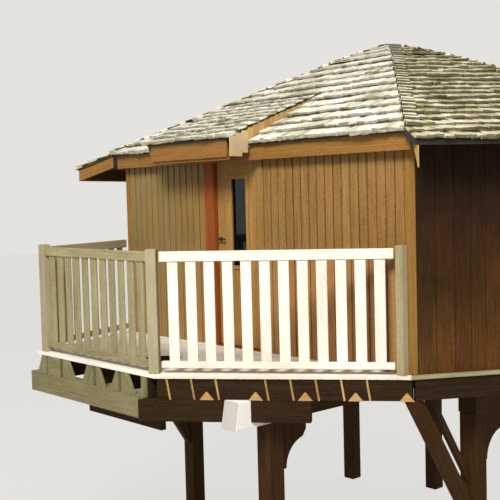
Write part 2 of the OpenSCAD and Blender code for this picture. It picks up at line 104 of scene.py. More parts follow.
class Slot(Enum):
    """The record's material slots that pieces here belong to."""

    SHAKES = "cedar_shakes"
    LARCH = "larch_boards"
    PALE = "pale_timber"
    FRAMING = "framing_timber"
    DECK = "deck_boards"
    DOOR = "door_boards"
    CEDAR = "stained_cedar"


def about_z(side: int, size: int = 4, sign: int = 1) -> Matrix:
    """Turn from the front wall to another wall, or back with sign -1."""
    return Matrix.Rotation(sign * math.radians(TURNS[side % 6]), size, "Z")


def corner(index: int, out: float) -> Vector:
    """Corner of the cabin's plan, moved out by a distance. Corner 0 is the front right one."""
    x, y = HALF_FRONT + out * math.tan(math.radians(30)), FRONT + out
    tip = SIDE_X + out / math.cos(math.radians(30))
    places = ((x, -y, 0), (tip, 0, 0), (x, y, 0), (-x, y, 0), (-tip, 0, 0), (-x, -y, 0))
    return Vector(places[index % 6])


def left_span(out: float) -> tuple[float, float]:
    """Where the left front wall starts and stops along itself, moved out by a distance."""
    flare = out * math.tan(math.radians(30))
    low = -SIDE_X / 2 - flare
    return low, low + SIDE_LENGTH + 2 * flare


def srgb(code: str) -> tuple[float, float, float, float]:
    """Linear RGBA from an sRGB hex code such as "c9a26b"."""
    parts = [int(code[i:i + 2], 16) / 255 for i in (0, 2, 4)]
    return (*[c / 12.92 if c <= 0.04045 else ((c + 0.055) / 1.055) ** 2.4 for c in parts], 1.0)


@dataclass(frozen=True)
class Graph:
    """A node tree with short ways to add its nodes."""

    tree: bpy.types.NodeTree

    def plug(self, node: Node, key: int | str, value: Any) -> None:
        """Links a socket to a node's input, or sets the input. A string is an sRGB hex code."""
        if isinstance(value, Socket):
            self.tree.links.new(value, node.inputs[key])
        else:
            node.inputs[key].default_value = srgb(value) if isinstance(value, str) else value

    def add(self, kind: str, inputs: dict[Any, Any] | None = None, **settings: Any) -> Node:
        """Adds a node with its settings, values and links.

        Args:
            kind: the node's type name without "ShaderNode".
            inputs: values or output sockets by input name or number.
            settings: properties of the node.

        Returns:
            The new node.
        """
        node = self.tree.nodes.new("ShaderNode" + kind)
        for key, value in settings.items():
            setattr(node, key, value)
        for key, value in (inputs or {}).items():
            self.plug(node, key, value)
        return node

    def calc(self, operation: str, a: Any, b: Any = 0.0, clamp: bool = False) -> Socket:
        """Output of a Math node on two values or sockets."""
        return self.add("Math", {0: a, 1: b}, operation=operation, use_clamp=clamp).outputs[0]

    def times(self, a: Any, b: Any) -> Socket:
        """Product of two values or sockets."""
        return self.calc("MULTIPLY", a, b)

    def weigh(self, a: Socket, share_a: float, b: Socket, share_b: float) -> Socket:
        """Sum of two sockets, each times its share."""
        return self.calc("ADD", self.times(a, share_a), self.times(b, share_b))

    def vector(self, operation: str, a: Any, b: Any, output: str = "Vector") -> Socket:
        """Output of a Vector Math node on two values or sockets."""
        return self.add("VectorMath", {0: a, 1: b}, operation=operation).outputs[output]

    def mix(self, factor: Any, a: Any, b: Any, kind: str = "MIX") -> Socket:
        """Output of a colour mix of a and b."""
        inputs = {0: factor, 6: a, 7: b}
        return self.add("Mix", inputs, data_type="RGBA", blend_type=kind).outputs[2]

    def ramp(self, factor: Socket, *stops: tuple[float, str]) -> Socket:
        """Output of a colour ramp with sRGB hex stops."""
        node = self.add("ValToRGB", {"Fac": factor})
        points = node.color_ramp.elements
        while len(points) < len(stops):
            points.new(0.5)
        for point, (place, code) in zip(points, stops):
            point.position = place
            point.color = srgb(code)
        return node.outputs["Color"]

    def span(self, value: Any, low: float, high: float, to_low: float = 0.0,
             to_high: float = 1.0) -> Socket:
        """Output of a clamped range change."""
        inputs = {0: value, 1: low, 2: high, 3: to_low, 4: to_high}
        return self.add("MapRange", inputs).outputs[0]

    def noise(self, place: Socket, scale: float, detail: float, roughness: float = 0.5) -> Socket:
        """Output of a noise texture."""
        inputs = {"Vector": place, "Scale": scale, "Detail": detail, "Roughness": roughness}
        return self.add("TexNoise", inputs).outputs[0]

    def face(self, name: str) -> Socket:
        """What each face carries: its "tone", or whether it is end grain, "end"."""
        return self.add("Attribute", attribute_name=name).outputs["Fac"]

    def flat(self) -> Socket:
        """The piece's own grain coordinates, in metres along and across."""
        return self.add("UVMap", uv_map="grain").outputs[0]

    def grain(self, along: float, across: float) -> Socket:
        """The grain coordinates, moved by the piece's tone and stretched."""
        tone = self.face("tone")
        far = {k: self.times(tone, jump) for k, jump in enumerate((53.0, 17.0, 7.0))}
        moved = self.vector("ADD", self.flat(), self.add("CombineXYZ", far).outputs[0])
        return self.vector("MULTIPLY", moved, (along, across, 1.0))

    def here(self) -> Socket:
        """The place on the object, in metres."""
        return self.add("TexCoord").outputs["Object"]

    def relief(self, shader: Node, height: Socket, depth_mm: float, strength: float = 1.0) -> None:
        """Gives the shader a relief."""
        inputs = {"Height": height, "Strength": strength, "Distance": depth_mm / 1000}
        self.plug(shader, "Normal", self.add("Bump", inputs).outputs[0])


@dataclass(frozen=True)
class Fade:
    """A change of colour along a direction, from where it starts to where it is full."""

    along: tuple[float, float, float]
    start: float
    full: float
    colour: str
    share: float = 1.0
    kind: str = "MIX"

    def on(self, graph: Graph, here: Socket, patches: Socket, colour: Socket) -> Socket:
        """The colour with this change, its edge broken up by slow patches."""
        ragged = 0.35 * abs(self.full - self.start)
        place = graph.calc("ADD", graph.vector("DOT_PRODUCT", here, self.along, "Value"),
                           graph.span(patches, 0.2, 0.8, -ragged, ragged))
        share = graph.times(graph.span(place, self.start, self.full), self.share)
        return graph.mix(share, colour, self.colour, self.kind)


@dataclass(frozen=True)
class Finish:
    """A surface, by the name of its material."""

    name: str

    @cache
    def material(self) -> Material:
        """The finish's material, made on first use."""
        material = bpy.data.materials.new(self.name)
        material.use_nodes = True
        tree = material.node_tree
        self.paint(Graph(tree), tree.nodes["Principled BSDF"])
        return material

    def paint(self, graph: Graph, shader: Node) -> None:
        """Draws the surface on the shader."""
        raise NotImplementedError


@dataclass(frozen=True)
class TimberFinish(Finish):
    """Colours and wear of one timber.

    The colours are the grain's dark, mid and light ones, and what sun and rain turn it to, which
    also paints sunlight on the faces turned to the light.
    """

    colours: str
    bleached: float = 0.3
    knots: float = 0.6
    spread: float = 0.25
    roughness: float = 0.7
    ring_mm: float = 7.0
    relief_mm: float = 0.6
    fades: tuple[Fade, ...] = ()

    def paint(self, graph: Graph, shader: Node) -> None:
        """Draws the timber on the "grain" map of each piece."""
        dark, mid, light, bleach_and_sunlit = self.colours.split()
        tone = graph.face("tone")
        # Long fibres, which give the fine streaks along every board
        fibres = graph.noise(graph.grain(2.4, 90.0), 1.0, 6.0, 0.62)
        # Yearly rings, which give the wider darker lines that run out along the board
        lines = {"Vector": graph.grain(0.22, 1.0), "Scale": 314.0 / self.ring_mm,
                 "Distortion": 9.0, "Detail": 2.0, "Detail Scale": 3.0}
        rings = graph.add("TexWave", lines, bands_direction="Y").outputs[1]
        mixed = graph.weigh(fibres, 0.72, rings, 0.28)
        colour = graph.ramp(mixed, (0.28, dark), (0.5, mid), (0.72, light))
        # Knots, small dark ovals
        spots = graph.add("TexVoronoi", {"Vector": graph.grain(1.7, 9.0), "Scale": 1.0})
        knot = graph.times(graph.span(spots.outputs["Distance"], 0.10, 0.03), self.knots)
        colour = graph.mix(knot, colour, dark)
        # Sun and rain pale what lies open in slow patches; faces turned to the light from the right
        # and above are paler still, which is painted sunlight
        here = graph.here()
        patches = graph.noise(here, 1.7, 5.0, 0.6)
        normal = graph.add("NewGeometry").outputs["Normal"]
        sun_facing = graph.vector("DOT_PRODUCT", normal, (0.75, -0.2, 0.63), "Value")
        weather_and_sunlight = graph.calc("ADD", graph.span(patches, 0.35, 0.7),
                              graph.span(sun_facing, 0.3, 0.9, 0.0, 0.9))
        # This share holds both the weathering and the painted sunlight on the faces turned to the
        # light
        worn = graph.calc("MULTIPLY", weather_and_sunlight, self.bleached, clamp=True)
        colour = graph.mix(worn, colour, bleach_and_sunlit)
        # Boards differ from one another in depth of colour
        depth = graph.span(tone, 0.0, 1.0, 1.0 - self.spread, 1.0 + self.spread * 0.6)
        hue = graph.span(graph.calc("FRACT", graph.times(tone, 7.3)), 0.0, 1.0, 0.494, 0.506)
        shifted = {"Hue": hue, "Value": depth, "Color": colour}
        colour = graph.add("HueSaturation", shifted).outputs[0]
        for fade in self.fades:
            colour = fade.on(graph, here, patches, colour)
        # End grain drinks more and looks darker
        colour = graph.mix(graph.times(graph.face("end"), 0.45), colour, dark)
        graph.plug(shader, "Base Color", colour)
        rough = graph.span(fibres, 0.3, 0.7, self.roughness + 0.12, self.roughness - 0.08)
        graph.plug(shader, "Roughness", rough)
        graph.plug(shader, "Specular IOR Level", 0.15)
        graph.relief(shader, graph.weigh(mixed, 1.0, knot, -0.4), self.relief_mm)


@dataclass(frozen=True)
class ShakeFinish(Finish):
    """Colours of split cedar shakes, from the greyest to the palest."""

    colours: str
    exposure: float
    # split is the colour of the splits, and also paints the shadow below the butts and the shade on
    # the butt ends
    split: str = "43391f"
    butt_shadow: float = 0.07
    dark_end: float = 0.45
    relief_mm: float = 2.2

    def paint(self, graph: Graph, shader: Node) -> None:
        """Draws split shakes: ridged faces, dark splits, each its own shade, and painted shade
        below and on the butts.
        """
        along = graph.add("SeparateXYZ", {0: graph.flat()}).outputs[0]
        fibres = graph.noise(graph.grain(5.0, 85.0), 1.0, 5.0, 0.6)
        ridges = graph.noise(graph.grain(2.0, 32.0), 1.0, 3.0)
        here = graph.here()
        patches = graph.span(graph.noise(here, 2.2, 5.0, 0.65), 0.3, 0.7, -0.2, 0.24)
        shade = graph.calc("ADD", graph.weigh(graph.face("tone"), 0.22, ridges, 0.78), patches)
        colour = graph.ramp(shade, *zip((0.15, 0.35, 0.55, 0.75, 1.0), self.colours.split()))
        colour = graph.mix(graph.span(fibres, 0.43, 0.28, 0.0, 0.6), colour, self.split)
        # Painted shadow below the butts of the course above, which gives broken wavy dark lines
        broken = graph.noise(here, 7.0, 4.0, 0.7)
        reach = graph.calc("ADD", along, graph.span(broken, 0.3, 0.7, -0.03, 0.03))
        band = graph.span(reach, self.exposure - self.butt_shadow, self.exposure - self.butt_shadow * 0.4)
        butt_shadow = graph.times(band, graph.span(broken, 0.34, 0.5, 0.5, 1.0))
        colour = graph.mix(butt_shadow, colour, self.split)
        # Butt ends darker, partly weathered end grain and partly painted shade, more so on the
        # shaded sides and the hips
        colour = graph.mix(graph.times(graph.face("end"), self.dark_end), colour, self.split)
        graph.plug(shader, "Base Color", colour)
        graph.plug(shader, "Roughness", 0.86)
        graph.plug(shader, "Specular IOR Level", 0.2)
        graph.relief(shader, graph.weigh(ridges, 1.0, fibres, 0.45), self.relief_mm)


@dataclass(frozen=True)
class LiningFinish(Finish):
    """Plain boarding with fine joints, drawn on Object coordinates, for faces without boards."""

    dark: str
    light: str
    joints: str = "1c120b"
    pitch: float = 0.12

    def paint(self, graph: Graph, shader: Node) -> None:
        """Draws the boarding of inner walls, ceilings and the cabin's floor."""
        here = graph.here()
        parts = graph.add("SeparateXYZ", {0: here}).outputs
        # One coordinate across the boards, told by both plan directions
        across = graph.weigh(parts[0], 1.0, parts[1], 0.618)
        cell = graph.calc("DIVIDE", across, self.pitch)
        middle = graph.calc("SUBTRACT", graph.calc("FRACT", cell), 0.5)
        joint = graph.span(graph.calc("ABSOLUTE", middle), 0.475, 0.495)
        number = {"W": graph.calc("FLOOR", cell)}
        board = graph.add("TexWhiteNoise", number, noise_dimensions="1D").outputs[0]
        stretched = graph.vector("MULTIPLY", here, (26.0, 26.0, 2.0))
        fibres = graph.noise(stretched, 1.0, 5.0, 0.6)
        mixed = graph.weigh(board, 0.4, fibres, 0.6)
        colour = graph.ramp(mixed, (0.25, self.dark), (0.75, self.light))
        graph.plug(shader, "Base Color", graph.mix(graph.times(joint, 0.8), colour, self.joints))
        graph.plug(shader, "Roughness", 0.8)
        graph.relief(shader, graph.calc("SUBTRACT", fibres, joint), 2.0, 0.6)


class IronFinish(Finish):
    """Dark iron of the handle and hinges."""

    def paint(self, graph: Graph, shader: Node) -> None:
        """Draws dull iron with worn brighter patches."""
        wear = graph.noise(graph.here(), 60.0, 6.0)
        graph.plug(shader, "Base Color", graph.ramp(wear, (0.35, "1a1614"), (0.7, "453a33")))
        graph.plug(shader, "Roughness", graph.span(wear, 0.3, 0.7, 0.62, 0.38))
        graph.plug(shader, "Metallic", 0.8)
        graph.relief(shader, wear, 0.5, 0.3)


class GlassFinish(Finish):
    """The door's pane."""

    def paint(self, graph: Graph, shader: Node) -> None:
        """Draws slightly green glass tinted near black, which paints the shade of the dark room
        behind it, with dust that dulls it in patches.
        """
        dust = graph.noise(graph.here(), 9.0, 6.0, 0.65)
        graph.plug(shader, "Roughness", graph.span(dust, 0.4, 0.75, 0.03, 0.16))
        graph.plug(shader, "Base Color", graph.ramp(dust, (0.3, "2f3328"), (0.8, "41432f")))
        graph.plug(shader, "Transmission Weight", 0.97)
        # Low, since the pane is dull with dust and mirrors little of what is outside
        graph.plug(shader, "IOR", 1.22)


def looking_rays(graph: Graph) -> Socket:
    """1 for rays from the camera and for those that gloss or glass sends on, else 0."""
    rays = graph.add("LightPath").outputs
    gloss = graph.calc("MAXIMUM", rays["Is Camera Ray"], rays["Is Glossy Ray"])
    return graph.calc("MAXIMUM", gloss, rays["Is Transmission Ray"])


class FloorFinish(Finish):
    """The studio's pale floor."""

    def paint(self, graph: Graph, shader: Node) -> None:
        """Draws a floor that the camera sees mostly in the backdrop's tone, with its shadows."""
        cloud = graph.noise(graph.here(), 0.4, 3.0)
        graph.plug(shader, "Base Color", graph.ramp(cloud, (0.3, "dcdad4"), (0.7, "e4e2dd")))
        graph.plug(shader, "Roughness", 0.9)
        pale = graph.add("Emission", {"Color": BACKDROP, "Strength": 0.99}).outputs[0]
        seen = graph.times(looking_rays(graph), 0.86)
        mixed = graph.add("MixShader", {0: seen, 1: shader.outputs[0], 2: pale}).outputs[0]
        graph.plug(graph.tree.nodes["Material Output"], "Surface", mixed)


# Cladding, paler low on the front wall as painted sunlight and greener grey towards its left end as
# painted shade under the trees, and its trim
LARCH = TimberFinish("oiled_larch", "684620 8f6936 a9804a 9c8354", 0.2, 0.7, 0.1, fades=(
    Fade((0, 0, -1), -(DECK + 1.1), -(DECK + 0.8), "c08a5c", 0.4),
    Fade((-1, 0, 0), 0.5 - SHIFT.x, 1.2 - SHIFT.x, "8c8455", 0.4)))
FASCIA_LARCH = TimberFinish("fascia_larch", "6f4a1f 90642d a4773c 9a7b47", 0.18, 0.4, 0.05)
# Painted shade: the other walls take a darker copy of the larch, darker still towards the top under
# the eaves
LARCH_SHADE = TimberFinish("dark_stained_larch", "341c07 583510 734a1a 5a4523", 0.12, 0.9, 0.2,
                           fades=(Fade((0, 0, 1), DECK + 0.1, DECK + 1.3, "6e6760", 0.92,
                                       "MULTIPLY"),))
DOOR_LARCH = TimberFinish("door_larch", "7d5424 9f7439 b68c4f ac9060", 0.2, 0.4, 0.08)
RED_CEDAR = TimberFinish("stained_cedar", "6a2a0e 95481a a85a26 8a6238", 0.1, 0.3, 0.1)
# Pine of the balustrade, the verges and the porch's rim, from new to grey; the pale foot of the
# verges is painted sunlight, the grey pine paints the left railings' shade, the olive pine the left
# beam's
PALE = TimberFinish("bleached_pine", "b9a88a e0d6be f2ecdc f6f3ea", 0.6, 0.4, 0.07, 0.75, 6.0, 0.5)
POST = TimberFinish("silvered_pine", "756a4f 988c6b b3a787 c2b89c", 0.4, 0.5, 0.08, 0.75, 6.0, 0.5)
FRESH = TimberFinish("fresh_pine", "a08050 c8a878 dcc294 e0d0ac", 0.3, 0.5, 0.08, 0.75, 6.0, 0.5)
TAN = TimberFinish("tan_pine", "7d5526 b07e42 cc9f60 d6ba86", 0.3, 0.8, 0.2, 0.75, 6.0, 0.5)
GREY_TAN = TimberFinish("greyed_pine", "685c3a 968860 b2a57c bab394", 0.35, 0.5, 0.14, 0.78, 6.0)
# Painted shade: the olive pine stands for the shade on the left beam and its blocks
OLIVE = TimberFinish("mossy_pine", "554c30 847a55 a0956d 9f9872", 0.3, 0.5, 0.12, 0.8, 6.0)
DECKING = TimberFinish("sawn_decking", "cfc0a4 f0e8d6 f9f5ea fbf9f2", 0.55, 0.6, 0.08, 0.78, 6.0,
                       0.8)
# Frame under the platform, dark as painted shade under the deck. The bearers' front ends are pale
# as painted sunlight
FRAME = TimberFinish("oiled_frame", "1c0f05 3a220b 573412 483517", 0.2, 0.6, 0.15, 0.8, 9.0, 1.0)
BEARER = TimberFinish("oiled_bearer", "221306 432a10 5f3e1a 54401f", 0.2, 0.6, 0.15, 0.8, 9.0, 1.0,
                      (Fade((0, -1, 0), FRONT + 0.62 - SHIFT.y, FRONT + 0.9 - SHIFT.y, "fffaf0"),))
DEEP_SHADE_FRAME = TimberFinish("damp_frame", "160d05 2e1d0b 452d13 3c2c15", 0.12, 0.5, 0.2, 0.8, 9.0,
                          1.0)
# Shakes in the sun, on the door's canopy, on the other sides darker as painted shade, and along the
# hips
SUN_SHAKES = ShakeFinish("split_cedar_shakes", "8f8768 cac3a6 eeead8 faf8ee fffef8", 0.213)
CANOPY_SHAKES = replace(SUN_SHAKES, name="canopy_cedar_shakes", exposure=0.15, butt_shadow=0.06)
SHADE_SHAKES = ShakeFinish("greyed_cedar_shakes", "6d633e a39a72 cec49e e8e1c6 f6f1df", 0.166,
                           "352c14", dark_end=0.68)
CAP_SHAKES = ShakeFinish("hip_cedar_shakes", "8f8560 c4bb93 e3dbb9 f2ecd6 faf6ea", 0.11, "2c2410",
                         0.045, 0.8)
LINING = LiningFinish("inner_boarding", "4a2f16", "7a5530")
# Painted shade: the roof's boarding is near black, so that the eaves' edges under the shakes read
# as shaded bands
SHEATHING = LiningFinish("roof_sheathing", "17120a", "2a2214")
IRON, GLASS = IronFinish("dark_forged_iron"), GlassFinish("window_glass")
BACKDROP = "e9e8e4"


def deselect(active: Object | None = None) -> None:
    """Leaves edit mode and selects nothing, or only the given object."""
    if bpy.context.object and bpy.context.object.mode != "OBJECT":
        bpy.ops.object.mode_set(mode="OBJECT")
    bpy.ops.object.select_all(action="DESELECT")
    if active:
        active.select_set(True)
        bpy.context.view_layer.objects.active = active


def edit_all() -> None:
    """Goes into edit mode with everything selected."""
    bpy.ops.object.mode_set(mode="EDIT")
    bpy.ops.mesh.select_all(action="SELECT")


def link_new(name: str, data: Any) -> Object:
    """A new object on the given data, in the scene."""
    piece = bpy.data.objects.new(name, data)
    bpy.context.scene.collection.objects.link(piece)
    return piece


@dataclass
class Stock:
    """A model piece that is copied many times: its points, its faces and their normals."""

    points: np.ndarray
    faces: list[tuple[int, ...]]
    normals: np.ndarray

    @classmethod
    def block(cls, bevel: float = 0.004, cuts: int = 0) -> "Stock":
        """A 2 m cube with small bevelled edges.

        Args:
            bevel: width of the bevel in metres.
            cuts: how often the cube is cut in all directions.

        Returns:
            The model piece. Copies are stretched from the middle, so that the bevel stays.
        """
        deselect()
        bpy.ops.mesh.primitive_cube_add(size=2)
        piece = bpy.context.object
        edit_all()
        if bevel:
            bpy.ops.mesh.bevel(offset=bevel, segments=1, affect="EDGES")
        if cuts:
            bpy.ops.mesh.subdivide(number_cuts=cuts)
        bpy.ops.mesh.normals_make_consistent(inside=False)
        bpy.ops.object.mode_set(mode="OBJECT")
        mesh = piece.data
        stock = cls(np.array([v.co[:] for v in mesh.vertices]),
                    [tuple(p.vertices) for p in mesh.polygons],
                    np.array([p.normal[:] for p in mesh.polygons]))
        bpy.data.objects.remove(piece)
        bpy.data.meshes.remove(mesh)
        return stock


@dataclass
class Stack:
    """Copies of one model piece that become one mesh, each with its own grain and tone.

    Every copy has local X along its grain.
    """

    name: str
    seed: int
    stock: Stock
    points: list[np.ndarray] = field(default_factory=list)
    faces: list[tuple[int, ...]] = field(default_factory=list)
    maps: list[np.ndarray] = field(default_factory=list)
    tones: list[float] = field(default_factory=list)
    ends: list[float] = field(default_factory=list)
    count: int = 0

    def __post_init__(self) -> None:
        """Seeds the stack's own chance."""
        self.chance = random.Random(self.seed)

    def lay(self, size: Sequence[float], matrix: Matrix, tone: float | None = None,
            shape: Shape | None = None) -> None:
        """Adds a copy.

        Args:
            size: the copy's length, width and thickness.
            matrix: from the copy's middle, X along it, to the place from the cabin's middle.
            tone: 0 to 1, or by chance.
            shape: changes the copy's points before it is placed.
        """
        half, reach = np.array(size) / 2, np.abs(self.stock.points)
        # Points near the cube's faces keep their distance from them, the others are stretched
        inner = half * reach * (reach < 0.98)
        local = np.sign(self.stock.points) * np.maximum(half - (1 - reach), inner)
        if shape:
            local = shape(local)
        turn = np.array(matrix.to_3x3())
        placed = local @ turn.T + np.array(matrix.translation) + np.array(SHIFT)
        tone = self.chance.random() if tone is None else tone
        flat = np.stack([local[:, 0] + half[0], local[:, 1] + local[:, 2]], axis=1)
        for face, normal in zip(self.stock.faces, self.stock.normals):
            end = abs(normal[0]) > 0.8
            self.faces.append(tuple(i + self.count for i in face))
            self.maps.append((local[:, 1:] if end else flat)[list(face)])
            self.tones.append(tone)
            self.ends.append(float(end))
        self.points.append(placed)
        self.count += len(placed)

    def beam(self, start: Sequence[float], end: Sequence[float], width: float, depth: float,
             tone: float | None = None) -> None:
        """Adds a copy that runs from one point to another.

        Args:
            start: the middle of one end.
            end: the middle of the other end.
            width: its level size across.
            depth: its size at right angles to that.
            tone: 0 to 1, or by chance.
        """
        a, b = Vector(start), Vector(end)
        along = (b - a).normalized()
        side = Vector((0, 0, 1)).cross(along)
        side = side.normalized() if side.length > 1e-4 else Vector((0, 1, 0))
        matrix = Matrix((along, side, along.cross(side))).transposed().to_4x4()
        matrix.translation = (a + b) / 2
        self.lay(((b - a).length, width, depth), matrix, tone)

    def finish(self, finish: Finish, slot: Slot, replaced: Sequence[str] = (),
               body: Body = Body.HOUSE) -> Object:
        """Makes the mesh and hands it to the frame.

        Args:
            finish: its finish.
            slot: not used.
            replaced: the part's nodes that it stands for.
            body: what it rides on.

        Returns:
            The finished object.
        """
        mesh = bpy.data.meshes.new(self.name)
        mesh.from_pydata(np.concatenate(self.points).tolist(), [], self.faces)
        piece = link_new(self.name, mesh)
        write_grain(mesh, np.concatenate(self.maps), self.tones, self.ends)
        return hand_over(piece, finish, replaced, body)


def write_grain(mesh: bpy.types.Mesh, flat: Any, tones: Sequence[float],
                ends: Sequence[float]) -> None:
    """Writes the "grain" map and the "tone" and "end" of each face."""
    grain = mesh.uv_layers.get("grain") or mesh.uv_layers.new(name="grain")
    grain.data.foreach_set("uv", np.array(flat, dtype=np.float32).ravel())
    for name, values in (("tone", tones), ("end", ends)):
        entry = mesh.attributes.get(name) or mesh.attributes.new(name, "FLOAT", "FACE")
        entry.data.foreach_set("value", np.array(values, dtype=np.float32))
    mesh.update()


def hand_over(piece: Object, finish: Finish, replaced: Sequence[str],
              body: Body) -> Object:
    """Gives a piece its finish and tells the frame about it.

    Args:
        piece: the object.
        finish: its finish.
        replaced: the part's nodes that it stands for.
        body: what it rides on.

    Returns:
        The same object.
    """
    piece.data.materials.clear()
    piece.data.materials.append(finish.material())
    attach(piece, body.value)
    if replaced:
        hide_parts(*replaced)
    LOG.info("%s: %d faces", piece.name, len(piece.data.polygons))
    return piece


def islands(mesh: bpy.types.Mesh) -> np.ndarray:
    """The number of the loose part that each point belongs to."""
    root = list(range(len(mesh.vertices)))

    def find(i: int) -> int:
        """The first point of i's part."""
        while root[i] != i:
            root[i] = root[root[i]]
            i = root[i]
        return i

    for edge in mesh.edges:
        a, b = find(edge.vertices[0]), find(edge.vertices[1])
        if a != b:
            root[b] = a
    return np.array([find(i) for i in range(len(root))])


def dressed(nodes: Nodes, names: Sequence[str], name: str, finish: Finish,
            bevel: float, seed: int) -> Object:
    """Dresses the part's own timbers: eased edges, and grain along each one's longest edge.

    Args:
        nodes: the part's nodes.
        names: the nodes to copy into one piece.
        name: the new piece's name.
        finish: its finish.
        bevel: how far the edges are eased, in metres.
        seed: for the tones.

    Returns:
        The finished piece.
    """
    deselect()
    copies = []
    for node in (nodes[node_name] for node_name in names):
        copies.append(link_new(name, node.data.copy()))
        copies[-1].data.transform(node.matrix_world)
    for copy in copies:
        copy.select_set(True)
    bpy.context.view_layer.objects.active = copies[0]
    if len(copies) > 1:
        bpy.ops.object.join()
    piece = bpy.context.view_layer.objects.active
    piece.name = name
    edit_all()
    bpy.ops.mesh.remove_doubles(threshold=0.0001)
    bpy.ops.mesh.dissolve_limited(angle_limit=math.radians(1))
    bpy.ops.mesh.bevel(offset=bevel, segments=2, affect="EDGES", clamp_overlap=True)
    bpy.ops.mesh.normals_make_consistent(inside=False)
    bpy.ops.object.mode_set(mode="OBJECT")
    mesh = piece.data
    for layer in list(mesh.uv_layers):
        mesh.uv_layers.remove(layer)
    where = islands(mesh)
    points = np.array([v.co[:] for v in mesh.vertices])
    edges = np.array([e.vertices[:] for e in mesh.edges])
    chance = random.Random(seed)
    axes: dict[int, tuple[np.ndarray, np.ndarray, np.ndarray, float]] = {}
    for part in sorted(set(where.tolist())):
        lines = points[edges[where[edges[:, 0]] == part]]
        runs = lines[:, 1] - lines[:, 0]
        along = runs[np.argmax(np.linalg.norm(runs, axis=1))]
        along = along / np.linalg.norm(along)
        side = np.cross(along, (0, 0, 1.0) if abs(along[2]) < 0.95 else (0, 1.0, 0))
        side = side / np.linalg.norm(side)
        axes[part] = (along, side, np.cross(along, side), chance.random())
    flat, tones, ends = [], [], []
    for face in mesh.polygons:
        along, side, up, tone = axes[int(where[face.vertices[0]])]
        spot = points[list(face.vertices)]
        end = abs(float(np.dot(np.array(face.normal[:]), along))) > 0.6
        first = spot @ (side if end else along)
        second = spot @ up if end else spot @ side + spot @ up
        flat.append(np.stack([first, second], axis=1))
        tones.append(tone)
        ends.append(float(end))
    write_grain(mesh, np.concatenate(flat), tones, ends)
    return hand_over(piece, finish, names, Body.HOUSE)


def repaint(nodes: Nodes, names: Iterable[str], finish: Finish) -> None:
    """Gives the part's own nodes a better material."""
    for name in names:
        for entry in nodes[name].material_slots:
            entry.material = finish.material()


@dataclass(frozen=True)
class Slope:
    """A sloping face that courses of shakes lie on, measured from an origin in the plan.

    dist and z are the level distance and the height of its foot, pitch is in degrees. limits
    tells where a course starts and stops at a level distance, cut where hips cut the shakes, and
    hidden where none is laid.
    """

    side: int
    dist: float
    z: float
    pitch: float
    limits: Ends
    cut: Ends | None = None
    origin: Vector = field(default_factory=Vector)
    hidden: Callable[[float, float], bool] = lambda s, dist: False

    def away(self, u: float) -> float:
        """Level distance from the origin of the place u metres up the slope."""
        return self.dist - u * math.cos(math.radians(self.pitch))

    def place(self, s: float, u: float, length: float, lift: float) -> Matrix:
        """Place of a piece of this length with its foot at s along the eave and u up the slope."""
        p = math.radians(self.pitch)
        along = Vector((0, math.cos(p), math.sin(p)))
        normal = Vector((0, -math.sin(p), math.cos(p)))
        frame = Matrix((along, normal.cross(along), normal)).transposed().to_4x4()
        foot = Vector((s, -self.away(u), self.z + u * math.sin(p)))
        frame.translation = foot + along * (length / 2) + normal * lift
        return Matrix.Translation(self.origin) @ about_z(self.side) @ frame


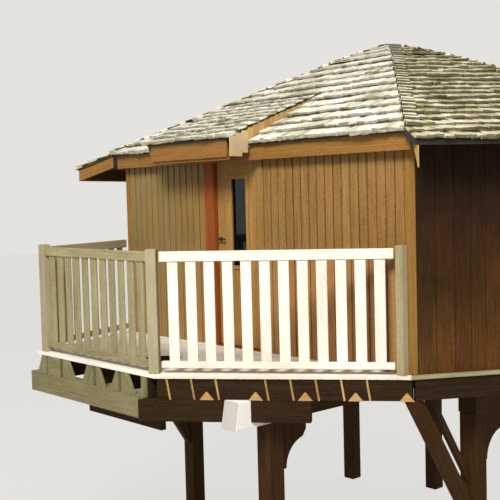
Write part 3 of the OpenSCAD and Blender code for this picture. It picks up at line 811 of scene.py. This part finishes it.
@dataclass
class Roof:
    """Shakes on six sides and two canopies, with caps along the hips.

    exposure is how much of a shake shows, butt and head are its thicknesses, out is how far the
    eaves stand out, and more is what the longer ones have on top.
    """

    front_exposure: float = 0.213
    side_exposure: float = 0.166
    canopy_exposure: float = 0.15
    widths: tuple[float, ...] = (0.075, 0.09, 0.1, 0.115, 0.13, 0.15)
    length: float = 0.28
    butt: float = 0.022
    head: float = 0.004
    overhang: float = 0.028
    starter_drop: float = -0.014
    lap: float = 0.01
    slack: float = 0.03
    hip_gap: float = 0.004
    rake: float = 0.02
    out: float = 0.15
    more: float = 0.24
    longer: tuple[int, ...] = (1, 2, 4)
    peak: Vector = field(default_factory=lambda: Vector((-0.045, 0, 0)))
    eave_z: float = DECK + 2.11
    peak_z: float = DECK + 3.297
    crown_k: float = 0.2
    crown_rise: float = 0.032
    boards: float = 0.03
    free_edge: float = 0.06
    sink: float = 0.006
    cap_step: float = 0.11
    cap_width: float = 0.12
    cap_length: float = 0.25
    cap_thick: float = 0.022
    cap_lift: float = 0.012
    cap_curl: float = 0.02
    cap_toe: float = 0.03
    crown_steps: float = 1.7
    canopy_x: tuple[float, float] = (-1.13, 0.2)
    canopy_out: float = 0.415
    canopy_in: float = 0.88
    canopy_cover: float = 0.80
    canopy_z: float = DECK + 2.165
    canopy_pitch: float = 20.0
    canopy_boards: float = 1.42
    verge: float = 0.19
    verge_thick: float = 0.016
    verge_in: float = 0.85
    offcut: float = 0.083
    side_canopy_out: float = 0.47
    side_canopy_pitch: float = 18.0
    end_board: float = 0.105

    def __post_init__(self) -> None:
        """Works out the crown's height."""
        self.crown_z = self.peak_z - (self.peak_z - self.eave_z) * self.crown_k + self.crown_rise

    def shake(self, stack: Stack, slope: Slope, s: float, u: float, width: float,
              length: float, lift: float) -> None:
        """Lays one shake.

        Args:
            stack: where it goes.
            slope: what it lies on.
            s: its middle along the eave.
            u: how far up the slope its butt is.
            width: across the slope.
            length: along the slope.
            lift: how much higher it lies.
        """
        chance = stack.chance
        thick = self.butt * chance.uniform(0.8, 1.25)
        twist = chance.uniform(-1.0, 1.0) * 0.005
        bow = chance.uniform(-1, 1) * 0.003
        ragged = [chance.uniform(-1, 1) * 0.006 for _ in range(8)]
        dist, cos_p = slope.away(u), math.cos(math.radians(slope.pitch))

        def shape(local: np.ndarray) -> np.ndarray:
            """Wedge, ragged butt, small twist, and the cut along the hips."""
            out = local.copy()
            t = (local[:, 0] + length / 2) / length
            v = local[:, 1] / (width / 2)
            body = thick + (self.head - thick) * t
            tilt = self.butt * 0.55 + twist * v + bow * (1 - v * v)
            out[:, 2] = np.where(local[:, 2] > 0, body, 0.0) + tilt * (1 - t)
            out[:, 0] += np.where(t < 0.02, np.interp(v, np.linspace(-1, 1, 8), ragged), 0.0)
            out[:, 1] += (t - 0.5) * ragged[0] + v * ragged[1] * 0.3
            for point in out if slope.cut else ():
                low, high = slope.cut(dist - (point[0] + length / 2) * cos_p)
                # Local Y runs against s
                point[1] = min(max(point[1], s - high), s - low)
            return out

        stack.lay((length, width, 0.02), slope.place(s, u, length, lift - self.sink), None,
                  shape)

    def course(self, stack: Stack, slope: Slope, u: float, length: float,
               lift: float) -> None:
        """Lays one course of shakes of chance widths in a wavy line.

        Args:
            stack: where they go.
            slope: what they lie on.
            u: how far up the slope their butts are.
            length: along the slope.
            lift: how much higher they lie.
        """
        chance = stack.chance
        wave = chance.uniform(0, 6.28)
        dist = slope.away(u)
        s, high = slope.limits(dist)
        while s < high - 0.02:
            width = min(chance.choice(self.widths) * chance.uniform(0.92, 1.08), high - s)
            gap = chance.uniform(0.001, 0.004)
            jog = chance.gauss(0, 0.006) + 0.012 * math.sin(s * 2.1 + wave)
            jog += 0.009 * math.sin(s * 5.3 + 2 * wave)
            if not slope.hidden(s + width / 2, dist):
                self.shake(stack, slope, s + width / 2, u + jog, max(width - gap, 0.02),
                           length, lift + chance.uniform(0, 0.007))
            s += width

    def courses(self, stack: Stack, slope: Slope, start: float, step: float,
                rows: int, top: float, starter: bool = True, lift: float = 0.0) -> None:
        """Lays courses up a slope.

        Args:
            stack: where they go.
            slope: what they lie on.
            start: how far up the slope the first butts are.
            step: from course to course.
            rows: how many courses.
            top: how far up the slope ends.
            starter: whether a lower course lies under the first one.
            lift: how much higher all of them lie.
        """
        for row in range(rows):
            u = start + row * step
            length = min(self.length, top - u + self.lap)
            for drop in (self.starter_drop, 0.0) if starter and row == 0 else (0.0,):
                self.course(stack, slope, u, length, lift + drop)

    def extent(self, side: int) -> tuple[float, Ends]:
        """How far a side reaches from the peak, and where it ends at a distance from the peak."""
        back = about_z(side, 3, -1)
        first = back @ (corner(side + 5, self.out) - self.peak)
        last = back @ (corner(side, self.out) - self.peak)
        reach = -first.y

        def bounds(dist: float) -> tuple[float, float]:
            """The lowest and highest place along the eave: on the hips, or at a free end."""
            low = first.x * dist / reach + self.hip_gap
            high = last.x * dist / reach - self.hip_gap
            if dist > reach and side != 2:
                low = first.x - self.rake
            if dist > reach and side != 1:
                high = last.x + self.rake
            return low, high

        return reach, bounds

    def lay_side(self, side: int, stock: Stock) -> Stack:
        """Lays all courses of one side of the main roof, the steeper skirt and the crown."""
        stack = Stack("shakes_side_%d" % side, 100 + side, stock)
        reach, bounds = self.extent(side)
        ring = reach * self.crown_k

        def limits(dist: float) -> tuple[float, float]:
            """Where a course starts and stops, a little past the hips that cut it."""
            low, high = bounds(dist)
            slack = self.slack if dist < reach else 0.0
            return low - slack, high + slack

        def hidden(s: float, dist: float) -> bool:
            """Under the door's canopy."""
            left, right = self.canopy_x
            return (side == 0 and left + 0.02 < s + self.peak.x < right - 0.02
                    and dist > FRONT - self.canopy_cover)

        def slope(foot: float, z: float, head: float, top: float) -> tuple[Slope, float]:
            """The slope between two distances and heights, and its length."""
            pitch = math.degrees(math.atan2(top - z, foot - head))
            return (Slope(side, foot, z, pitch, limits, bounds, self.peak, hidden),
                    math.hypot(foot - head, top - z))

        skirt, long = slope(reach, self.eave_z, ring, self.crown_z)
        start = -self.overhang
        if side in self.longer:
            start -= self.more / math.cos(math.radians(skirt.pitch))
        elif side == 5:
            start = 0.0
        exposure = self.front_exposure if side in (0, 3) else self.side_exposure
        rows = round((long - start) / exposure)
        self.courses(stack, skirt, start, (long - start) / rows, rows, long, side != 5)
        crown, long = slope(ring, self.crown_z, 0.0, self.peak_z)
        rows = max(round(long / exposure), 1)
        self.courses(stack, crown, -0.01, long / rows, rows, long - self.lap, False, 0.004)
        return stack

    def lay_canopy(self, stock: Stock) -> Stack:
        """Lays the courses of the canopy over the door."""
        stack = Stack("shakes_door_canopy", 131, stock)
        left, right = self.canopy_x
        slope = Slope(0, FRONT + self.canopy_out, self.canopy_z, self.canopy_pitch,
                      lambda dist: (left - 0.026, right + 0.03))
        run = (self.canopy_out + self.canopy_in) / math.cos(math.radians(self.canopy_pitch))
        rows = round((run + 0.02) / self.canopy_exposure)
        self.courses(stack, slope, -0.025, self.canopy_exposure, rows, run)
        return stack

    def lay_side_canopy(self, stock: Stock) -> Stack:
        """Lays the courses of the left wall's canopy."""
        stack = Stack("shakes_side_canopy", 132, stock)
        p = math.radians(self.side_canopy_pitch)
        low, high = left_span(self.out)
        slope = Slope(5, APOTHEMS[5] + self.out + self.side_canopy_out,
                      self.eave_z - self.side_canopy_out * math.tan(p), self.side_canopy_pitch,
                      lambda dist: (low - 0.01, high + 0.01))
        run = self.side_canopy_out / math.cos(p) + 0.02
        rows = round(run / self.side_exposure)
        self.courses(stack, slope, -0.02, run / rows, rows, math.inf)
        return stack

    def lay_boards(self, stock: Stock) -> Stack:
        """Lays the boarding under the shakes: six folded slabs, and one under each canopy."""
        stack = Stack("roof_boarding", 141, stock)
        for side in range(6):
            reach, bounds = self.extent(side)
            ring = reach * self.crown_k
            rise = (self.crown_z - self.eave_z) / (reach - ring)
            outer = reach + (self.more if side in self.longer else 0.0)
            thick = self.free_edge if side in self.longer else self.boards
            steps = (outer, reach + 0.0005, reach, (reach + ring) / 2, ring, 0.02)

            def shape(local: np.ndarray) -> np.ndarray:
                """Folds a slab over one side."""
                out = local.copy()
                for point, (x, y, z) in zip(out, local):
                    dist = steps[round((x + 0.5) * 5)]
                    low, high = bounds(dist)
                    top = self.eave_z + rise * (reach - dist)
                    if dist < ring:
                        top = self.peak_z - (self.peak_z - self.crown_z) * dist / ring
                    point[:] = low + (high - low) * (y + 0.5), -dist, top - (thick if z < 0 else 0)
                return out

            turn = Matrix.Translation(self.peak) @ about_z(side)
            stack.lay((1.0, 1.0, 1.0), turn, None, shape)
        p = math.radians(self.canopy_pitch)
        left, right = self.canopy_x
        foot = Vector(((left + right) / 2, -(FRONT + self.canopy_out),
                       self.canopy_z - self.boards / 2))
        head = foot + Vector((0, math.cos(p), math.sin(p))) * self.canopy_boards
        stack.beam(foot, head, right - left, self.boards)
        low, high = left_span(self.out)
        head = Vector(((low + high) / 2, -(APOTHEMS[5] + self.out), self.eave_z - self.boards / 2))
        fall = math.tan(math.radians(self.side_canopy_pitch))
        foot = head + Vector((0, -self.side_canopy_out, -self.side_canopy_out * fall))
        turn = about_z(5, 3)
        stack.beam(turn @ foot, turn @ head, high - low, self.boards)
        return stack

    def fit_verges(self) -> None:
        """Fits the boards under the door canopy's raking edges, and the pale ones at the foot."""
        stock = Stock.block(0.003)
        verges, foot = Stack("verge_boards", 133, stock), Stack("verge_foot_board", 134, stock)
        p = math.radians(self.canopy_pitch)
        along = Vector((0, math.cos(p), math.sin(p)))
        normal = Vector((0, -math.sin(p), math.cos(p)))
        start = Vector((0, -(FRONT + self.canopy_out) + 0.012, self.canopy_z))
        left, right = self.canopy_x
        for x in (right + 0.008, left - 0.008):
            a = Vector((x, 0, 0)) + start - normal * (self.verge / 2 + 0.004)
            b = a + along * (self.canopy_out + self.verge_in) / math.cos(p)
            verges.beam(a, b, self.verge_thick, self.verge, 0.5)

        def stand(stack: Stack, k: int, proud: float, depth: float, wide: float, thick: float,
                  tone: float) -> None:
            """Stands the k-th narrow board on the right edge."""
            high = start + along * (k * self.offcut + 0.04) - normal * 0.012
            high += Vector((right + proud, 0, 0))
            stack.beam(high - Vector((0, 0, depth)), high, wide, thick, tone)

        # Three pale ones at the foot, paler as painted sunlight, and offcuts along the rest of the
        # edge, no two alike
        for k, (depth, tone) in enumerate(((0.2, 0.4), (0.23, 0.7), (0.222, 0.5))):
            stand(foot, k, 0.022, depth, 0.082, 0.012, tone)
        for k in range(3, 15):
            tone = (0.1, 0.75, 0.35, 0.95, 0.2, 0.6)[k % 6]
            stand(verges, k, 0.02, 0.17, 0.081, 0.01, tone)
        verges.finish(TAN, Slot.LARCH, ("canopy_verges",))
        foot.finish(FRESH, Slot.PALE)

    def lay_caps(self, stock: Stock) -> Stack:
        """Lays a small shake at every step up one side of each hip."""
        stack = Stack("hip_cap_shakes", 140, stock)
        peak = self.peak + Vector((0, 0, self.peak_z))
        for hip in range(6):
            foot = corner(hip, self.out) + Vector((0, 0, self.eave_z))
            ring = peak.lerp(foot, self.crown_k)
            ring.z = self.crown_z
            # On the right of each hip. The front left one shows none on the porch's side
            side, hand = (hip, 1) if hip == 5 else (hip + 1, -1)
            self.cap_run(stack, side, hand, foot, ring, self.cap_step, self.cap_curl)
            self.cap_run(stack, side, hand, ring, peak, self.cap_step * self.crown_steps,
                         0.0)
        return stack

    def cap_run(self, stack: Stack, side: int, hand: int, a: Vector, b: Vector,
                step: float, first_curl: float) -> None:
        """Lays the caps along one straight run of a hip.

        Args:
            stack: where they go.
            side: the roof's side that they lie on.
            hand: 1 or -1, which way that side lies from the hip.
            a: the run's foot.
            b: the run's head.
            step: from cap to cap.
            first_curl: how far the lowest one curls up.
        """
        chance = stack.chance
        along, total = (b - a).normalized(), (b - a).length
        across = about_z(side, 3) @ Vector((1, 0, 0))
        normal = along.cross(across if along.cross(across).z > 0 else -across).normalized()
        sideways = normal.cross(along)
        inward = sideways if sideways.dot(across) * hand < 0 else -sideways
        steps = max(round(total / step), 1)
        for k in range(steps):
            u = -self.cap_toe + k * total / steps + chance.gauss(0, 0.006)
            length = min(self.cap_length, total - u + self.lap)
            width = self.cap_width * chance.uniform(0.92, 1.08)
            thick = self.cap_thick * chance.uniform(0.85, 1.2)
            curl = first_curl if k == 0 else 0.0
            past_hip = 0.008 if (k % 2 == 0) == (hand > 0) else -0.002
            matrix = Matrix((along, sideways, normal)).transposed().to_4x4()
            matrix.translation = (a + along * (u + length / 2) + inward * (width / 2 - past_hip)
                                  + normal * self.cap_lift)

            def shape(local: np.ndarray) -> np.ndarray:
                """Wedge that lies on the cap below."""
                out = local.copy()
                t = (local[:, 0] + length / 2) / length
                out[:, 2] = np.where(local[:, 2] > 0, thick * (1 - 0.7 * t), -0.008)
                out[:, 2] += 0.012 * (1 - t) + curl * (1 - t) ** 2
                return out

            stack.lay((length, width, 0.02), matrix, None, shape)

    def fit_eave_ends(self) -> None:
        """Fits a pointed board under each free end of the longer eaves."""
        ends = Stack("eave_end_boards", 135, Stock.block(0.002))
        wide = self.end_board
        dist = SIDE_APOTHEM + self.out
        fall = (self.crown_z - self.eave_z) / (dist * (1 - self.crown_k))
        far, near = (abs(end) - 0.012 for end in left_span(self.out))

        def shape(local: np.ndarray) -> np.ndarray:
            """Deep at the outer edge and nothing at the inner one."""
            out = local.copy()
            outer = np.clip(0.5 - local[:, 1] / wide, 0, 1)
            depth = np.where(local[:, 0] > 0, 0.015 + 0.185 * outer, 0.0)
            out[:, 0] = outer * wide * fall + depth
            return out

        for side, s in ((1, -near), (2, near), (4, -near), (4, far)):
            spot = Vector((s, -(dist + self.more - wide / 2),
                           self.eave_z - 0.04 - (self.more - wide) * fall))
            matrix = about_z(side) @ Matrix.Translation(spot) @ EDGE_ON
            ends.lay((0.2, wide, 0.014), matrix, None, shape)
        ends.finish(TAN, Slot.LARCH, ("eave_ends",))

    def build(self) -> None:
        """Lays the whole roof."""
        stock = Stock.block(0.0, 2)
        for side in range(6):
            # The front and back take the sunlit shakes, the other sides the darker ones, which
            # paint their shade
            finish = SUN_SHAKES if side in (0, 3) else SHADE_SHAKES
            self.lay_side(side, stock).finish(finish, Slot.SHAKES)
        self.lay_canopy(stock).finish(CANOPY_SHAKES, Slot.SHAKES)
        self.lay_side_canopy(stock).finish(SHADE_SHAKES, Slot.SHAKES)
        self.lay_caps(stock).finish(CAP_SHAKES, Slot.SHAKES, ("hip_caps",))
        self.fit_verges()
        self.fit_eave_ends()
        self.lay_boards(Stock.block(0.0, 4)).finish(SHEATHING, Slot.SHAKES, (
            "roof_front", "roof_right_front", "roof_right_back", "roof_back", "roof_left_back",
            "roof_left_front", "longer_eaves", "canopy_roof", "side_canopy"))


@dataclass
class Walls:
    """Standing boards on the six walls. pitch is from board to board in front, wide elsewhere."""

    pitch: float = 0.104
    wide: float = 0.165
    front_gap: float = 0.015
    side_gap: float = 0.002
    proud: float = 0.012
    thick: float = 0.022
    corner_room: float = 0.05
    low: float = DECK
    high: float = DECK + 2.15
    door: tuple[float, float] = (-0.658, 0.262)
    panel: float = DECK + 1.963

    def clad(self, stack: Stack, side: int, start: float, stop: float,
             low: float) -> None:
        """Stands boards on a wall: even ones in front, mixed ones elsewhere.

        Args:
            stack: where they go.
            side: the wall, 0 to 5.
            start: where the first one starts along the wall.
            stop: where the last one stops.
            low: height of their feet.
        """
        pitch, gap = (self.wide, self.side_gap) if side else (self.pitch, self.front_gap)
        count = max(round((stop - start) / pitch), 1)
        shares = [stack.chance.uniform(0.82, 1.18) if side else 1.0 for _ in range(count)]
        s = start
        for share in shares:
            width = share * (stop - start) / sum(shares)
            jut = self.proud + stack.chance.uniform(-0.0012, 0.0012)
            spot = Vector((s + width / 2, -(APOTHEMS[side] + jut - self.thick / 2),
                           (low + self.high) / 2))
            matrix = about_z(side) @ Matrix.Translation(spot) @ FACE_ON
            stack.lay((self.high - low, width - gap, self.thick), matrix)
            s += width

    def build(self, nodes: Nodes) -> None:
        """Clads all walls."""
        stock = Stock.block(0.004)
        front = Stack("front_cladding", 201, stock)
        left, right = self.door
        self.clad(front, 0, -HALF_FRONT + self.corner_room, left, self.low)
        self.clad(front, 0, right, HALF_FRONT - self.corner_room, self.low)
        self.clad(front, 0, left, right, self.panel)
        front.finish(LARCH, Slot.LARCH)
        # The other walls take the darker larch, which paints their shade
        for side in range(1, 6):
            wall = Stack("cladding_side_%d" % side, 201 + side, stock)
            back = about_z(side, 3, -1)
            self.clad(wall, side, (back @ corner(side + 5, 0)).x + self.corner_room,
                      (back @ corner(side, 0)).x - self.corner_room, self.low)
            wall.finish(LARCH_SHADE, Slot.LARCH)
        for names, name, bevel, seed in (
                (("corner_boards",), "corner_strips", 0.003, 31),
                (("eave_fascias",), "fascia_boards", 0.004, 32),
                (("canopy_fascia", "side_canopy_boards"), "canopy_boards", 0.004, 33)):
            dressed(nodes, names, name, FASCIA_LARCH, bevel, seed)
        repaint(nodes, ("front_wall_right", "front_wall_left", "over_door_panel",
                        "right_front_wall", "right_back_wall", "back_wall", "left_back_wall",
                        "left_front_wall"), LINING)


@dataclass
class Platform:
    """Legs, bearers, braces, joists and the deck's boards."""

    board: float = 0.12
    gap: float = 0.006
    thick: float = 0.028
    reach: float = 3.2
    block: float = 0.06

    def build_frame(self, nodes: Nodes) -> None:
        """Dresses the timbers under the deck."""
        # The frame's dark finishes paint the shade under the deck, and the olive one the shade on
        # the left beam
        for names, name, finish, slot, bevel, seed in (
                (("front_legs", "back_legs"), "legs", FRAME, Slot.FRAMING, 0.008, 41),
                (("inner_bearers", "outer_bearers"), "bearers", BEARER, Slot.FRAMING, 0.006, 42),
                (("knee_braces", "tree_yoke"), "braces", FRAME, Slot.FRAMING, 0.006, 43),
                (("front_beam", "porch_joists", "cabin_joists", "rim_joists"), "joists",
                 DEEP_SHADE_FRAME, Slot.FRAMING, 0.004, 44),
                (("left_beam", "joist_end_blocks"), "left_beam_and_blocks", OLIVE, Slot.PALE,
                 0.004, 45),
                (("rim_slips",), "front_rim_slips", TAN, Slot.PALE, 0.001, 47)):
            dressed(nodes, names, name, finish, bevel, seed)
        # Closes the corner between the porch's rim and the cabin's
        block = Stack("rim_corner_block", 48, Stock.block(0.003))
        low, high = (Vector((HALF_FRONT - 0.025, -FRONT - 0.025, DECK - drop))
                     for drop in (0.215, 0.035))
        block.beam(low, high, self.block, self.block)
        block.finish(DEEP_SHADE_FRAME, Slot.FRAMING)

    def build_deck(self, nodes: Nodes) -> None:
        """Cuts the deck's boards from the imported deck's outline."""
        stack = Stack("deck_boards", 301, Stock.block(0.002))
        deck = nodes["porch_deck"].data
        edges = [v.co.y - SHIFT.y for v in deck.vertices]
        low, high = min(edges), max(edges)
        rows = math.ceil((high - low) / self.board)
        for row in range(rows):
            middle = Vector((0, low + (row + 0.5) * self.board, DECK - 0.015))
            half = Vector((self.reach, 0, 0))
            stack.beam(middle - half, middle + half, self.board - self.gap, self.thick)
        piece = stack.finish(DECKING, Slot.DECK, ("porch_deck",))
        cutter = link_new("deck_outline", deck.copy())
        deselect(cutter)
        edit_all()
        bpy.ops.mesh.remove_doubles(threshold=0.0001)
        bpy.ops.mesh.normals_make_consistent(inside=False)
        deselect(piece)
        cut = piece.modifiers.new("outline", "BOOLEAN")
        cut.object, cut.operation, cut.solver = cutter, "INTERSECT", "EXACT"
        bpy.ops.object.modifier_apply(modifier="outline")
        bpy.data.objects.remove(cutter)
        # Tones and grain again, by the row that each face lies in
        mesh = piece.data
        chance = random.Random(302)
        row_tones = [chance.random() for _ in range(rows + 1)]
        flat, tones, ends = [], [], []
        for face in mesh.polygons:
            row = min(max(int((face.center.y - SHIFT.y - low) / self.board), 0), rows)
            tones.append(row_tones[row])
            ends.append(float(abs(face.normal.z) < 0.5 < abs(face.normal.x)))
            for spot in (mesh.vertices[k].co for k in face.vertices):
                flat.append((spot.x, spot.y + spot.z))
        write_grain(mesh, flat, tones, ends)
        mesh.materials.clear()
        mesh.materials.append(DECKING.material())

    def build(self, nodes: Nodes) -> None:
        """Builds the platform."""
        self.build_frame(nodes)
        self.build_deck(nodes)
        dressed(nodes, ("wall_ledges",), "ledge_strips", GREY_TAN, 0.003, 46)
        repaint(nodes, ("cabin_floor",), LINING)


@dataclass
class Balustrade:
    """Rails, balusters and posts of the porch."""

    height: float = 1.1
    baluster: tuple[float, float] = (0.096, 0.02)
    rail_thick: float = 0.044
    top_rail: float = 0.09
    foot_rail: float = 0.06
    foot_gap: float = 0.05
    tenon: float = 0.0075

    def railing(self, stack: Stack, a: Vector, b: Vector, clear_a: float,
                clear_b: float, count: int) -> None:
        """Adds a railing between two plan points.

        Args:
            stack: where it goes.
            a: the plan point where it starts.
            b: the plan point where it stops.
            clear_a: room for what stands at a.
            clear_b: room for what stands at b.
            count: how many balusters.
        """
        wide, thick = self.baluster
        along = (b - a).normalized()
        start, stop = a + along * clear_a, b - along * clear_b
        gap = ((stop - start).length - count * wide) / (count + 1)
        top = DECK + self.height - self.top_rail / 2
        foot = DECK + self.foot_gap + self.foot_rail / 2
        for z, depth in ((top, self.top_rail), (foot, self.foot_rail)):
            up = Vector((0, 0, z))
            stack.beam(start + up, stop + up, self.rail_thick, depth)
        low = self.foot_gap + self.foot_rail - self.tenon
        high = self.height - self.top_rail + self.tenon
        turn = Matrix.Rotation(math.atan2(along.y, along.x) + math.pi / 2, 4, "Z")
        for k in range(count):
            spot = start + along * (gap + k * (wide + gap) + wide / 2)
            spot.z = DECK + (low + high) / 2
            matrix = Matrix.Translation(spot) @ turn @ EDGE_ON
            stack.lay((high - low, wide, thick), matrix)

    def build(self, nodes: Nodes) -> None:
        """Builds the three railings and dresses the posts."""
        stock = Stock.block(0.003)
        near = Vector((0.287, -(FRONT + 1.42), 0))
        far = Vector((-1.62, -(FRONT + 1.42), 0))
        right = Vector((2.04, -(FRONT + 0.06), 0))
        left = corner(5, 0) + Vector((-0.01, -0.02, 0))
        front = Stack("front_railing_boards", 401, stock)
        self.railing(front, near, right, 0.072, 0.064, 12)
        front.finish(PALE, Slot.PALE, ("front_railing",))
        # The left railings are darker and greyer than the front one, which paints their shade
        other = Stack("left_railing_boards", 402, stock)
        self.railing(other, far, near, 0.046, 0.072, 11)
        self.railing(other, far, left, 0.062, 0.062, 8)
        other.finish(GREY_TAN, Slot.PALE, ("left_railing", "back_left_railing"))
        posts = ("near_left_post", "far_left_post")
        dressed(nodes, posts, "left_posts", POST, 0.005, 51)
        dressed(nodes, ("right_post",), "right_end_post", GREY_TAN, 0.004, 52)


@dataclass
class Door:
    """The boarded leaf with its pane, bead and frame."""

    left: float = -0.5
    width: float = 0.654
    low: float = DECK + 0.015
    height: float = 1.94
    thick: float = 0.044
    front: float = -FRONT + 0.03
    glass: tuple[float, float, float, float] = (-0.271, -0.036, DECK + 0.85, DECK + 1.765)
    boards: int = 7
    joint: float = 0.0012
    bead: float = 0.03
    bead_thick: float = 0.016
    rebate: float = 0.008

    def build(self, nodes: Nodes) -> None:
        """Builds the leaf and dresses its frame."""
        leaf = Stack("door_boards", 501, Stock.block(0.0025))
        x0, x1, z0, z1 = self.glass
        pitch = self.width / self.boards
        high = self.low + self.height
        for k in range(self.boards):
            a = self.left + k * pitch + self.joint
            b = self.left + (k + 1) * pitch - self.joint
            spans = [(self.low, high)]
            if b > x0 + 0.001 and a < x1 - 0.001:
                # The pane cuts this board, and what is left beside it stands on
                spans = [(self.low, z0), (z1, high)]
                if a < x0 - 0.004:
                    self.stand(leaf, a, x0, z0, z1, 0.5)
                if b > x1 + 0.004:
                    self.stand(leaf, x1, b, z0, z1, 0.5)
            for low, top in spans:
                self.stand(leaf, a, b, low, top, leaf.chance.random())
        bead, rebate, y = self.bead, self.rebate, self.front - 0.004
        for a, b in ((x0 - bead, x0 + rebate), (x1 - rebate, x1 + bead)):
            self.stand(leaf, a, b, z0 - bead, z1 + bead, 0.8, y, self.bead_thick)
        for z in (z0 - bead / 2 + rebate / 2, z1 + bead / 2 - rebate / 2):
            leaf.beam((x0 + rebate, y, z), (x1 - rebate, y, z), self.bead_thick,
                      bead + rebate, 0.8)
        leaf.finish(DOOR_LARCH, Slot.DOOR, ("door_leaf",), Body.DOOR)
        stained = ("left_door_post", "door_sill")
        dressed(nodes, stained, "stained_post_and_sill", RED_CEDAR, 0.004, 61)
        dressed(nodes, ("right_door_post",), "hinge_post", LARCH, 0.004, 62)
        repaint(nodes, ("door_glass",), GLASS)
        repaint(nodes, ("door_handle", "door_hinges", "frame_hinges"), IRON)

    def stand(self, stack: Stack, a: float, b: float, low: float, top: float,
              tone: float, middle: float | None = None, thick: float | None = None) -> None:
        """Stands a board of the leaf.

        Args:
            stack: where it goes.
            a: x of its left edge.
            b: x of its right edge.
            low: height of its foot.
            top: height of its head.
            tone: 0 to 1.
            middle: y of its middle, or else the leaf's.
            thick: its thickness, or else the leaf's.
        """
        middle = self.front + self.thick / 2 if middle is None else middle
        matrix = Matrix.Translation(((a + b) / 2, middle, (low + top) / 2)) @ FACE_ON
        stack.lay((top - low, b - a, thick or self.thick), matrix, tone)


@dataclass
class Studio:
    """Pale floor, soft light and the camera."""

    place: tuple[float, float, float] = (7.26, -8.7833, 4.189)
    turn: tuple[float, float, float] = (86.683, 48.284, -1.472)
    lens: float = 68.544
    sensor: float = 36.0
    floor: float = 120.0
    aim: tuple[float, float, float] = (0.3, -0.5, 3.2)

    def build(self) -> None:
        """Sets up floor, light, world and camera."""
        deselect()
        # Just under the feet, so that the faces don't meet
        bpy.ops.mesh.primitive_plane_add(size=self.floor, location=(0, 0, -0.002))
        floor = bpy.context.object
        floor.name = "studio_floor"
        floor.data.materials.append(FloorFinish("pale_studio_floor").material())
        self.lamp("key", (6.5, -11.0, 12.5), 4.0, 2250.0, (1.0, 0.965, 0.91))
        self.lamp("fill", (-11.0, -9.0, 6.0), 8.0, 260.0, (0.93, 0.96, 1.0))
        self.lamp("rim", (2.0, 12.0, 10.0), 6.0, 500.0, (0.95, 0.97, 1.0))
        world = bpy.data.worlds.new("pale_studio")
        bpy.context.scene.world = world
        world.use_nodes = True
        world.node_tree.nodes.clear()
        graph = Graph(world.node_tree)
        seen = graph.add("Background", {"Color": BACKDROP, "Strength": 0.95}).outputs[0]
        light = graph.add("Background", {"Color": "dfe4ea", "Strength": 0.42}).outputs[0]
        mixed = graph.add("MixShader", {0: looking_rays(graph), 1: light, 2: seen}).outputs[0]
        graph.add("OutputWorld", {"Surface": mixed})
        self.camera()
        bpy.context.scene.view_settings.view_transform = "Standard"

    def lamp(self, name: str, place: Sequence[float], size: float, power: float,
             colour: Sequence[float]) -> None:
        """Adds a soft area lamp that looks at the cabin."""
        data = bpy.data.lights.new(name, "AREA")
        data.size, data.energy, data.color = size, power, colour
        lamp = link_new(name, data)
        lamp.location = place
        lamp.rotation_euler = (Vector(self.aim) - Vector(place)).to_track_quat("-Z", "Y").to_euler()

    def camera(self) -> None:
        """Adds the camera at the picture's angle."""
        data = bpy.data.cameras.new("camera")
        data.lens, data.sensor_width = self.lens, self.sensor
        camera = link_new("camera", data)
        pitch, heading, roll = (math.radians(angle) for angle in self.turn)
        turn = Matrix.Rotation(heading, 4, "Z") @ Matrix.Rotation(pitch, 4, "X")
        turn = turn @ Matrix.Rotation(roll, 4, "Z")
        turn.translation = Vector(self.place) + SHIFT
        camera.matrix_world = turn
        bpy.context.scene.camera = camera


def write_sizes() -> None:
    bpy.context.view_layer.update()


def main() -> None:
    """Builds the looks piece by piece."""
    logging.basicConfig(level=logging.INFO, format="%(message)s")
    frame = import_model()
    nodes = frame["nodes"]
    deselect()
    Walls().build(nodes)
    Platform().build(nodes)
    Balustrade().build(nodes)
    Door().build(nodes)
    Roof().build()
    Studio().build()
    write_sizes()
    deselect()


if __name__ == "__main__":
    main()
